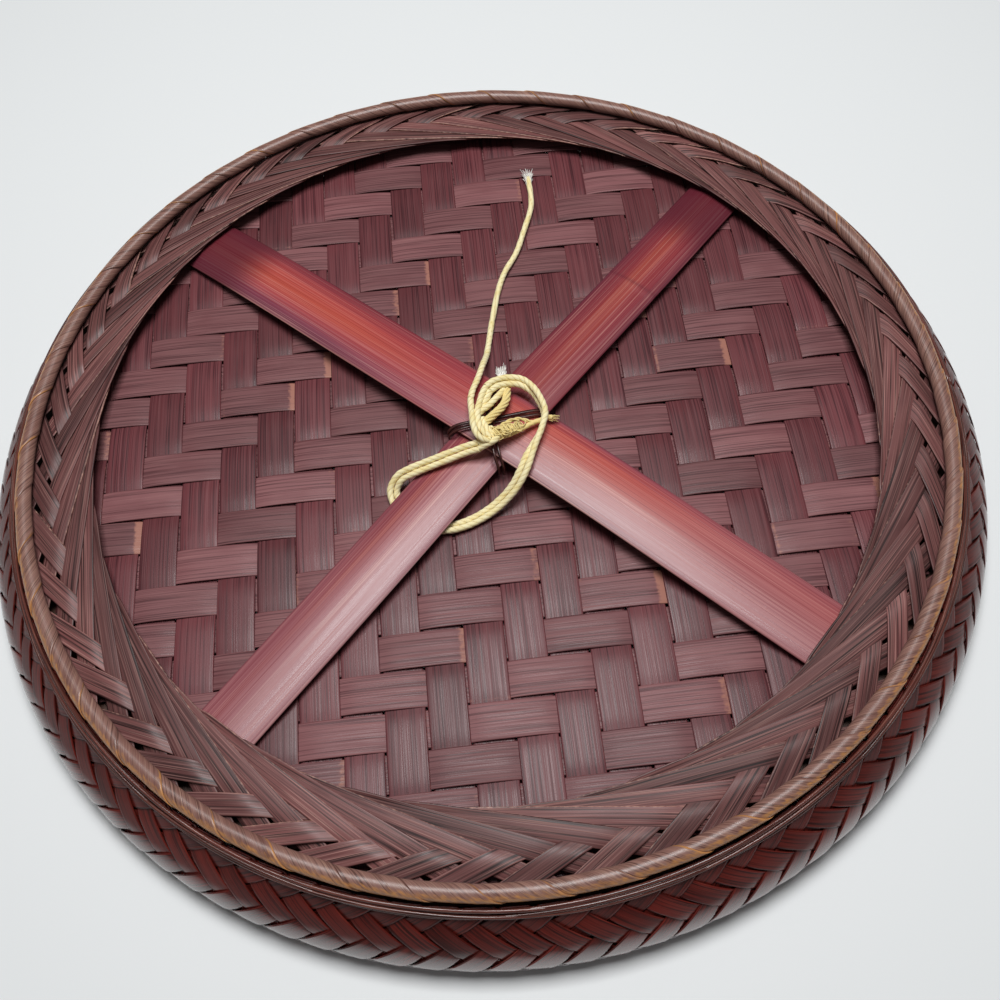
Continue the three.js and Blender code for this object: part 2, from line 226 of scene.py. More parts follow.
@dataclass
class ShaderPen:
    """Adds and links the nodes of one shader tree."""

    tree: bpy.types.NodeTree

    def node(self, kind: str, inputs: dict | None = None, **settings: object) -> bpy.types.Node:
        """Adds one node.

        Args:
            kind: The node's type name.
            inputs: Values or sockets to give to its inputs, by name or index.
            **settings: Properties to set on the node first.

        Returns:
            The new node.
        """
        made = self.tree.nodes.new(kind)
        for key, value in settings.items():
            setattr(made, key, value)
        for key, value in (inputs or {}).items():
            if isinstance(value, bpy.types.NodeSocket):
                self.tree.links.new(value, made.inputs[key])
            else:
                made.inputs[key].default_value = value
        return made

    def mix(self, share: object, first: object, second: object, blend: str = "MIX") -> Socket:
        """Mixes two colours.

        Args:
            share: How much of the second colour shows, a value or a socket.
            first: Colour or socket.
            second: Colour or socket.
            blend: How the colours are mixed.

        Returns:
            The mixed colour's socket.
        """
        inputs = {0: share, 6: first, 7: second}
        return self.node("ShaderNodeMix", inputs, data_type="RGBA", blend_type=blend).outputs[2]

    def spread(self, value: Socket, ends: Pair, to: Pair = (0, 1)) -> Socket:
        """Stretches a value's range smoothly.

        Args:
            value: The socket to read.
            ends: Values that give the two ends of the new range.
            to: The new range.

        Returns:
            The stretched value's socket.
        """
        inputs = {"Value": value, "From Min": ends[0], "From Max": ends[1], "To Min": to[0], "To Max": to[1]}
        kind = "ShaderNodeMapRange"
        return self.node(kind, inputs, interpolation_type="SMOOTHSTEP").outputs["Result"]

    def lay(self, colour: object, over: object, value: Socket, cover: Triple) -> Socket:
        """Lays a second colour over a first one where a value is high.

        Args:
            colour: The colour or socket below.
            over: The colour that is laid over it.
            value: The socket to read.
            cover: Value at which the second colour begins, value at which it is full, and how much it hides.

        Returns:
            The mixed colour's socket.
        """
        low, full, share = cover
        return self.mix(self.spread(value, (low, full), (0, share)), colour, over)

    def math(self, operation: str, *values: object) -> Socket:
        """Works out one sum of values or sockets."""
        return self.node("ShaderNodeMath", dict(enumerate(values)), operation=operation).outputs[0]

    def vector(self, operation: str, *values: object) -> Socket:
        """Works out one sum of vectors or sockets."""
        return self.node("ShaderNodeVectorMath", dict(enumerate(values)), operation=operation).outputs[0]

    def combine(self, *values: object) -> Socket:
        """Joins three values or sockets to a vector."""
        return self.node("ShaderNodeCombineXYZ", dict(enumerate(values))).outputs[0]

    def noise(self, place: Socket, detail: float, scale: float = 1.0) -> Socket:
        """Adds soft noise that is read at a place."""
        inputs = {"Vector": place, "Scale": scale, "Detail": detail}
        return self.node("ShaderNodeTexNoise", inputs).outputs[0]

    def bump(self, height: Socket, relief: float) -> Socket:
        """Turns a height from 0 to 1 into small relief."""
        inputs = {"Height": height, "Distance": relief, "Strength": 1.0}
        return self.node("ShaderNodeBump", inputs).outputs[0]

    def strip_values(self) -> tuple[Socket, Socket, Socket]:
        """Reads what a strip carries.

        Returns:
            Its lengthwise UVs, its tone, and its marks value: real rubbing and stains, and painted highlights
            and shade where pieces set them.
        """
        kind = "ShaderNodeAttribute"
        strip = self.node("ShaderNodeUVMap", uv_map=UV_LAYER).outputs[0]
        tone = self.node(kind, attribute_name=TONE_LAYER).outputs["Fac"]
        return strip, tone, self.node(kind, attribute_name=MARKS_AND_LIGHT_LAYER).outputs["Fac"]

    def surface(self, inputs: dict[str, object]) -> None:
        """Adds the surface with its inputs and links it to the output."""
        shader = self.node("ShaderNodeBsdfPrincipled", inputs)
        self.node("ShaderNodeOutputMaterial", {"Surface": shader.outputs[0]})


def open_material(name: str) -> tuple[Material, ShaderPen]:
    """Makes an empty material.

    Args:
        name: The material's name.

    Returns:
        The material and the pen that draws it.
    """
    made = bpy.data.materials.new(name)
    made.use_nodes = True
    made.node_tree.nodes.clear()
    return made, ShaderPen(made.node_tree)


@dataclass
class SharedEffects:
    """Shader groups that several finishes use."""

    streak_shift: float = 97.0
    fine_scale: Triple = (1.7, 2.1, 1.0)
    patch_scale: Triple = (45.0, 70.0, 0.0)
    sharp_detail: float = 3.0
    soft_detail: float = 2.0
    # Uneven rim of the marks mask, for real rubbing and painted highlights alike.
    mask_shift: float = 53.0
    mask_scale: Triple = (420.0, 620.0, 0.0)
    mask_unevenness: float = 0.9
    mask_ends: Pair = (0.42, 0.85)
    fibre: bpy.types.NodeTree = field(init=False)
    marks_and_light: bpy.types.NodeTree = field(init=False)

    def __post_init__(self) -> None:
        """Builds the groups once."""
        self.fibre = self.build_fibre()
        self.marks_and_light = self.build_marks_and_light()

    @staticmethod
    def new_group(
        name: str, values: tuple[str, ...], outputs: tuple[str, ...]
    ) -> tuple[ShaderPen, dict[str, Socket], bpy.types.Node]:
        """Makes an empty shader group that reads a strip's UVs and some values.

        Args:
            name: The group's name.
            values: Names of its value inputs.
            outputs: Names of its value outputs.

        Returns:
            A pen for the group, its input sockets by name, and its output node.
        """
        tree = bpy.data.node_groups.new(name, "ShaderNodeTree")
        tree.interface.new_socket(name="Strip", in_out="INPUT", socket_type="NodeSocketVector")
        for way, labels in (("INPUT", values), ("OUTPUT", outputs)):
            for label in labels:
                tree.interface.new_socket(name=label, in_out=way, socket_type="NodeSocketFloat")
        pen = ShaderPen(tree)
        entry = pen.node("NodeGroupInput")
        sockets = {label: entry.outputs[label] for label in ("Strip", *values)}
        return pen, sockets, pen.node("NodeGroupOutput")

    def build_fibre(self) -> bpy.types.NodeTree:
        """Builds lengthwise fibre streaks that differ from strip to strip.

        Returns:
            The group, with broad streaks, fine streaks and soft patches as outputs.
        """
        values = ("Tone", "Length", "Width")
        pen, entry, out = self.new_group("fibre_streaks", values, ("Broad", "Fine", "Patch"))
        along = pen.math("DIVIDE", 1.0, entry["Length"])
        across = pen.math("DIVIDE", 1.0, entry["Width"])
        apart = pen.math("MULTIPLY", entry["Tone"], self.streak_shift)
        shift = pen.combine(apart, 0.0, apart)
        broad = pen.vector("MULTIPLY_ADD", entry["Strip"], pen.combine(along, across, 0.0), shift)
        fine = pen.vector("MULTIPLY", broad, self.fine_scale)
        patch = pen.vector("MULTIPLY_ADD", entry["Strip"], self.patch_scale, shift)
        pen.tree.links.new(pen.noise(broad, self.sharp_detail), out.inputs["Broad"])
        pen.tree.links.new(pen.noise(fine, self.soft_detail), out.inputs["Fine"])
        pen.tree.links.new(pen.noise(patch, self.soft_detail), out.inputs["Patch"])
        return pen.tree

    def build_marks_and_light(self) -> bpy.types.NodeTree:
        """Builds a mask, with an uneven rim, of real rubbing and of painted highlights.

        Returns:
            The group, with one mask as output.
        """
        pen, entry, out = self.new_group("rubbed_and_lit_places", ("MarksAndLight", "Tone"), ("Mask",))
        apart = pen.math("MULTIPLY", entry["Tone"], self.mask_shift)
        place = pen.vector("MULTIPLY_ADD", entry["Strip"], self.mask_scale, pen.combine(apart, apart, 0.0))
        noise = pen.noise(place, self.sharp_detail)
        lift = pen.math("MULTIPLY_ADD", noise, self.mask_unevenness, -self.mask_unevenness / 2)
        raised = pen.math("ADD", lift, entry["MarksAndLight"])
        pen.tree.links.new(pen.spread(raised, self.mask_ends), out.inputs["Mask"])
        return pen.tree

    def add_fibre(self, pen: ShaderPen, strip: Socket, tone: Socket, size: Pair) -> dict[str, Socket]:
        """Adds the fibre streaks to a material.

        Args:
            pen: Pen of the material's tree.
            strip: The strip's UVs.
            tone: The strip's tone.
            size: Length and width of a fibre.

        Returns:
            The group's outputs by name.
        """
        inputs = {"Strip": strip, "Tone": tone, "Length": size[0], "Width": size[1]}
        return pen.node("ShaderNodeGroup", inputs, node_tree=self.fibre).outputs


@dataclass(frozen=True)
class BambooFinish:
    """Stained split bamboo with lengthwise fibre, paler where the marks mask is high: real rubbing, and
    painted highlight where a piece sets one.
    """

    name: str
    body: Colour
    dark: Colour
    pale: Colour
    # Paler colour for real rubbing, also used as painted highlight on the warps' near ends, the collar's
    # inner edges and the hoop wrap.
    worn_and_lit: Colour
    patch: Colour
    roughness: Pair = (0.34, 0.52)
    coat: float = 0.0
    coat_roughness: float = 0.3
    coat_index: float = 1.5
    polish: Pair | None = None
    specular: float = 0.5
    fibre_length: float = 42 * MM
    fibre_width: float = 1.5 * MM
    body_cover: Triple = (0.34, 0.56, 1.0)
    patch_cover: Triple = (0.45, 0.75, 0.5)
    pale_cover: Triple = (0.52, 0.74, 0.55)
    rough_ends: Pair = (0.3, 0.7)
    tone_range: Pair = (0.78, 1.18)
    relief: float = 0.10 * MM

    def material(self, effects: SharedEffects) -> Material:
        """Makes the finish's material.

        Args:
            effects: The shared shader groups.

        Returns:
            The material.
        """
        made, pen = open_material(self.name)
        strip, tone, marks_and_light = pen.strip_values()
        fibre = effects.add_fibre(pen, strip, tone, (self.fibre_length, self.fibre_width))
        inputs = {"Strip": strip, "MarksAndLight": marks_and_light, "Tone": tone}
        rubbed_and_lit = pen.node("ShaderNodeGroup", inputs, node_tree=effects.marks_and_light).outputs["Mask"]
        colour = pen.lay(self.dark, self.body, fibre["Broad"], self.body_cover)
        colour = pen.lay(colour, self.patch, fibre["Patch"], self.patch_cover)
        colour = pen.lay(colour, self.pale, fibre["Fine"], self.pale_cover)
        low, high = self.tone_range
        shade = pen.node("ShaderNodeMapRange", {"Value": tone, "To Min": low, "To Max": high}).outputs[0]
        colour = pen.mix(1.0, colour, shade, "MULTIPLY")
        coat = self.coat
        if self.polish:
            along = pen.node("ShaderNodeSeparateXYZ", {0: strip}).outputs[0]
            coat = pen.spread(along, self.polish, (0, self.coat))
        inputs = {
            # Mix towards the paler colour: real rubbing and painted highlight.
            "Base Color": pen.mix(rubbed_and_lit, colour, self.worn_and_lit),
            "Roughness": pen.spread(fibre["Fine"], self.rough_ends, self.roughness),
            "Normal": pen.bump(pen.math("ADD", fibre["Broad"], fibre["Fine"]), self.relief),
            "Specular IOR Level": self.specular,
            "Coat Weight": coat,
            "Coat Roughness": self.coat_roughness,
            "Coat IOR": self.coat_index,
        }
        pen.surface(inputs)
        return made


@dataclass(frozen=True)
class SlatFinish:
    """Stained bamboo skin whose colour changes in bands across the slat, other ones on each arm; on the near
    arm one side and the near end are made paler as painted sheen.
    """

    name: str
    width: float
    # Near arm bands: the stain's colours, with the paler side across the arm as painted sheen.
    near_bands_with_sheen: Bands
    far_bands: Bands
    crossing: Colour
    # Paler colour towards the near end: painted sheen.
    near_end_sheen: Colour
    dark: Colour = tint(104, 40, 50)
    pale: Colour = tint(222, 164, 152)
    stain: Colour = tint(92, 32, 44)
    roughness: Pair = (0.2, 0.46)
    specular: float = 0.42
    fibre_length: float = 170 * MM
    fibre_width: float = 0.8 * MM
    wander: float = 0.10
    wander_ends: Pair = (0.25, 0.75)
    pale_cover: Triple = (0.55, 0.72, 0.3)
    dark_cover: Triple = (0.5, 0.3, 0.36)
    stain_cover: Triple = (0.2, 1.0, 0.95)
    rough_ends: Pair = (0.3, 0.7)
    relief: float = 0.03 * MM
    middle: float = 199 * MM
    arm_blend: float = 22 * MM
    crossing_reach: Pair = (95 * MM, 20 * MM)
    crossing_share: float = 0.55
    near_end_sheen_cover: Triple = (-50 * MM, -150 * MM, 0.7)

    @staticmethod
    def add_bands(pen: ShaderPen, across: Socket, rows: Bands) -> Socket:
        """Adds the colour bands of one arm.

        Args:
            pen: Pen of the material's tree.
            across: Place across the slat from 0 to 1.
            rows: Places and colours of the bands.

        Returns:
            The colour's socket.
        """
        ramp = pen.node("ShaderNodeValToRGB", {0: across})
        stops = ramp.color_ramp.elements
        stops[0].position, stops[0].color = rows[0]
        stops[1].position, stops[1].color = rows[-1]
        for position, colour in rows[1:-1]:
            stops.new(position).color = colour
        return ramp.outputs[0]

    def material(self, effects: SharedEffects) -> Material:
        """Makes the finish's material.

        Args:
            effects: The shared shader groups.

        Returns:
            The material.
        """
        made, pen = open_material(self.name)
        strip, tone, marks_and_light = pen.strip_values()
        fibre = effects.add_fibre(pen, strip, tone, (self.fibre_length, self.fibre_width))
        along, across, _ = pen.node("ShaderNodeSeparateXYZ", {0: strip}).outputs
        across = pen.math("DIVIDE", across, self.width)
        half = self.wander / 2
        across = pen.math("ADD", across, pen.spread(fibre["Broad"], self.wander_ends, (-half, half)))
        from_middle = pen.math("SUBTRACT", along, self.middle)
        arm = pen.spread(from_middle, (-self.arm_blend, self.arm_blend))
        near = self.add_bands(pen, across, self.near_bands_with_sheen)
        # Paler towards the near end: painted sheen.
        near = pen.lay(near, self.near_end_sheen, from_middle, self.near_end_sheen_cover)
        colour = pen.mix(arm, near, self.add_bands(pen, across, self.far_bands))
        near_crossing = pen.spread(from_middle, self.crossing_reach, (0, self.crossing_share))
        colour = pen.mix(pen.math("MULTIPLY", near_crossing, arm), colour, self.crossing)
        colour = pen.lay(colour, self.dark, fibre["Fine"], self.dark_cover)
        colour = pen.lay(colour, self.pale, fibre["Fine"], self.pale_cover)
        inputs = {
            "Base Color": pen.lay(colour, self.stain, marks_and_light, self.stain_cover),
            "Roughness": pen.spread(fibre["Fine"], self.rough_ends, self.roughness),
            "Normal": pen.bump(fibre["Fine"], self.relief),
            "Specular IOR Level": self.specular,
        }
        pen.surface(inputs)
        return made


@dataclass(frozen=True)
class RodFinish:
    """Plain round bamboo of the hoops inside the weave."""

    name: str = "hoop_bamboo"
    body: Colour = tint(92, 60, 46)
    dark: Colour = tint(60, 36, 28)
    roughness: float = 0.55
    grain_scale: float = 160.0
    grain_detail: float = 3.0
    grain_cover: Triple = (0.3, 0.7, 1.0)

    def material(self) -> Material:
        """Makes the finish's material.

        Returns:
            The material.
        """
        made, pen = open_material(self.name)
        place = pen.node("ShaderNodeTexCoord").outputs["Object"]
        noise = pen.noise(place, self.grain_detail, self.grain_scale)
        colour = pen.lay(self.dark, self.body, noise, self.grain_cover)
        pen.surface({"Base Color": colour, "Roughness": self.roughness})
        return made


@dataclass(frozen=True)
class CottonFinish:
    """Pale twisted cotton, with painted shade between the plies."""

    name: str = "cotton_cord"
    crest: Colour = tint(255, 244, 196)
    # Darker yellow: painted shade in the grooves between plies, also used for the thread lines.
    groove: Colour = tint(198, 164, 96)
    stain: Colour = tint(246, 228, 164)
    white: Colour = tint(255, 253, 246)
    yellow: Colour = tint(242, 220, 150)
    groove_shade_cover: Triple = (0.75, 0.15, 0.6)
    thread_scale: Triple = (900.0, 2600.0, 0.0)
    thread_detail: float = 3.0
    thread_cover: Triple = (0.5, 0.8, 0.3)
    stain_scale: float = 140.0
    stain_detail: float = 2.0
    stain_cover: Triple = (0.4, 0.7, 1.0)
    yellow_cover: Triple = (PLAIN_TONE, YELLOW_TONE, 1.0)
    white_cover: Triple = (PLAIN_TONE, WHITE_TONE, 1.0)
    roughness: float = 0.9
    sheen: float = 0.25
    specular: float = 0.2
    relief: float = 0.12 * MM

    def material(self) -> Material:
        """Makes the finish's material.

        Returns:
            The material.
        """
        made, pen = open_material(self.name)
        strip, tone, crest = pen.strip_values()
        thread = pen.noise(pen.vector("MULTIPLY", strip, self.thread_scale), self.thread_detail)
        stained = pen.noise(strip, self.stain_detail, self.stain_scale)
        colour = pen.lay(self.crest, self.stain, stained, self.stain_cover)
        colour = pen.lay(colour, self.yellow, tone, self.yellow_cover)
        colour = pen.lay(colour, self.white, tone, self.white_cover)
        # Painted shade in the grooves, away from each ply's crest.
        colour = pen.lay(colour, self.groove, crest, self.groove_shade_cover)
        colour = pen.lay(colour, self.groove, thread, self.thread_cover)
        inputs = {
            "Base Color": colour,
            "Roughness": self.roughness,
            "Normal": pen.bump(thread, self.relief),
            "Sheen Weight": self.sheen,
            "Specular IOR Level": self.specular,
        }
        pen.surface(inputs)
        return made


@dataclass
class PieceMesh:
    """Gathers strips and tubes into the mesh of one piece, with lengthwise UVs and two values per point."""

    name: str
    bm: bmesh.types.BMesh = field(default_factory=bmesh.new)

    def __post_init__(self) -> None:
        """Adds the layers that the finishes read."""
        self.uv = self.bm.loops.layers.uv.new(UV_LAYER)
        self.tone = self.bm.verts.layers.float.new(TONE_LAYER)
        self.marks_and_light = self.bm.verts.layers.float.new(MARKS_AND_LIGHT_LAYER)

    def add_strip(
        self,
        steps: int,
        columns: tuple[float, ...],
        size: Pair,
        tone: float,
        place: Callable[[float, float], Placed],
    ) -> None:
        """Adds one flat strip.

        Args:
            steps: Number of faces along it.
            columns: Places across it from -1 to 1 that carry points.
            size: Length and width of the strip, for its fibre.
            tone: The strip's own tone from 0 to 1.
            place: Gives the point and its marks value for a share along and a place across.
        """
        last = len(columns) - 1
        made = bmesh.ops.create_grid(self.bm, x_segments=steps, y_segments=last, size=1.0)
        uvs = {}
        for vert in made["verts"]:
            along = (vert.co.x + 1) / 2
            across = columns[round((vert.co.y + 1) / 2 * last)]
            vert.co, vert[self.marks_and_light] = place(along, across)
            vert[self.tone] = tone
            uvs[vert] = (along * size[0], (across + 1) / 2 * size[1])
        for face in {face for vert in made["verts"] for face in vert.link_faces}:
            face.smooth = True
            for loop in face.loops:
                loop[self.uv].uv = uvs[loop.vert]

    def add_tube(
        self,
        line: list[Vector],
        sides: int,
        tone: float,
        section: Callable[[float, float], Pair],
    ) -> None:
        """Adds one closed tube along a line.

        Args:
            line: Points that the tube follows.
            sides: Number of faces round it.
            tone: The tube's own tone from 0 to 1.
            section: Gives the radius and the marks value for a distance along and an angle round.
        """
        ring = bmesh.ops.create_circle(self.bm, segments=sides, radius=1.0)["verts"]
        edges = list({edge for vert in ring for edge in vert.link_edges})
        spots = {vert: (0, math.atan2(vert.co.y, vert.co.x)) for vert in ring}
        bmesh.ops.edgeloop_fill(self.bm, edges=edges)
        for station in range(1, len(line)):
            grown = bmesh.ops.extrude_edge_only(self.bm, edges=edges)["geom"]
            ring = {item: None for item in grown if isinstance(item, bmesh.types.BMVert)}
            spots.update({vert: (station, math.atan2(vert.co.y, vert.co.x)) for vert in ring})
            edges = [item for item in grown if isinstance(item, bmesh.types.BMEdge)]
            edges = [edge for edge in edges if all(vert in ring for vert in edge.verts)]
        bmesh.ops.edgeloop_fill(self.bm, edges=edges)
        frames = self.frames(line)
        for vert, (station, angle) in spots.items():
            point, side, up, along = frames[station]
            radius, vert[self.marks_and_light] = section(along, angle)
            vert[self.tone] = tone
            vert.co = point + (side * math.cos(angle) + up * math.sin(angle)) * radius
        faces = {face for vert in spots for face in vert.link_faces}
        bmesh.ops.recalc_face_normals(self.bm, faces=list(faces))
        for face in faces:
            face.smooth = len(face.verts) == 4
            angles = [spots[loop.vert][1] for loop in face.loops]
            wraps = max(angles) - min(angles) > math.pi
            for loop, angle in zip(face.loops, angles):
                round_share = (angle + FULL_TURN if wraps and angle < 0 else angle) / FULL_TURN
                loop[self.uv].uv = (frames[spots[loop.vert][0]][3], round_share * TUBE_UV_WIDTH)

    @staticmethod
    def frames(line: list[Vector]) -> list[tuple[Vector, Vector, Vector, float]]:
        """Works out the cross directions along a line, turning as little as they can.

        Args:
            line: Points of the line.

        Returns:
            For each point, the point, its two cross directions and its distance along.
        """
        rows = []
        side = Vector((0, 0, 1))
        distance = 0.0
        for index, point in enumerate(line):
            before = line[max(index - 1, 0)]
            after = line[min(index + 1, len(line) - 1)]
            heading = (after - before).normalized()
            side = side - heading * side.dot(heading)
            if side.length < NO_LENGTH:
                side = heading.orthogonal()
            side.normalize()
            distance += (point - before).length if index else 0.0
            rows.append((point, side.copy(), heading.cross(side), distance))
        return rows

    def finish(
        self,
        material: Material,
        slot: Slot,
        nodes: tuple[str, ...],
        thickness: float = 0.0,
        side: Side = Side.BOTH,
    ) -> bpy.types.Object:
        """Makes the piece's object and hangs it on the frame.

        Args:
            material: The piece's material.
            slot: Its material slot in the record; not used.
            nodes: CAD nodes that it takes the place of.
            thickness: Thickness of its strips, or 0 where its tubes are closed already.
            side: Where that thickness lies.

        Returns:
            The finished object.
        """
        mesh = close_mesh(self.bm, self.name, material)
        piece = add_object(self.name, mesh)
        if thickness > 0:
            solid = piece.modifiers.new("thickness", "SOLIDIFY")
            solid.thickness = thickness
            solid.offset = side.value
        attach(piece, BODY)
        if nodes:
            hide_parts(*nodes)
        log.info("%s: %d faces", self.name, len(mesh.polygons))
        return piece


@dataclass
class Studio:
    """Camera at the photograph's angle, pale floor and soft light."""

    target: Vector = field(default_factory=lambda: Vector((4.9, -42.4, 33.0)) * MM)
    distance: float = 498.8 * MM
    elevation: float = math.radians(61.05)
    roll: float = math.radians(-3.868)
    lens: float = 39.05
    clip_end: float = 40.0
    floor_reach: float = 4.0
    floor_colour: Colour = tint(236, 239, 240)
    floor_roughness: float = 0.6
    lamp_place: Vector = field(default_factory=lambda: Vector((0.0, 0.22, 1.5)))
    lamp_width: float = 0.74
    lamp_depth: float = 0.72
    lamp_power: float = 21.5
    sky_strength: float = 0.1

    def build_camera(self) -> None:
        """Makes the camera and gives it to the scene."""
        back = Vector((0, -math.cos(self.elevation), math.sin(self.elevation)))
        level_up = Vector((0, math.sin(self.elevation), math.cos(self.elevation)))
        right = Vector((math.cos(self.roll), 0, 0)) + level_up * math.sin(self.roll)
        up = back.cross(right)
        data = bpy.data.cameras.new("photo_camera")
        data.lens = self.lens
        data.clip_end = self.clip_end
        camera = add_object("photo_camera", data)
        turn = Matrix((right, up, back)).transposed().to_4x4()
        camera.matrix_world = Matrix.Translation(self.target + back * self.distance) @ turn
        bpy.context.scene.camera = camera
        bpy.context.scene.view_settings.view_transform = "Standard"

    def build_floor(self) -> None:
        """Makes the plain pale floor."""
        bm = bmesh.new()
        bmesh.ops.create_grid(bm, x_segments=1, y_segments=1, size=self.floor_reach)
        made = bpy.data.materials.new("pale_floor")
        made.use_nodes = True
        shader = made.node_tree.nodes["Principled BSDF"]
        shader.inputs["Base Color"].default_value = self.floor_colour
        shader.inputs["Roughness"].default_value = self.floor_roughness
        add_object("floor", close_mesh(bm, "floor", made))

    def build_light(self) -> None:
        """Makes the soft lamp above and behind the tray, and the even sky."""
        data = bpy.data.lights.new("overhead", "AREA")
        data.shape = "RECTANGLE"
        data.size = self.lamp_width
        data.size_y = self.lamp_depth
        data.energy = self.lamp_power
        lamp = add_object("overhead", data)
        lamp.location = self.lamp_place
        lamp.rotation_euler = self.lamp_place.to_track_quat("Z", "Y").to_euler()
        world = bpy.data.worlds.new("even_sky")
        world.use_nodes = True
        sky = world.node_tree.nodes["Background"]
        sky.inputs["Color"].default_value = (1.0, 1.0, 1.0, 1.0)
        sky.inputs["Strength"].default_value = self.sky_strength
        bpy.context.scene.world = world


@dataclass(frozen=True)
class Winding:
    """Loose thread wound round a line: its distance at both ends, turns, first angle and own radius."""

    reach: Pair
    turns: float
    phase: float
    radius: float


@dataclass(frozen=True)
class Tuft:
    """Frayed end: where its fibres start behind a tip, how far they reach past it and splay, and how many."""

    back: float
    reach: float
    splay: float
    count: int
    tone: float = WHITE_TONE


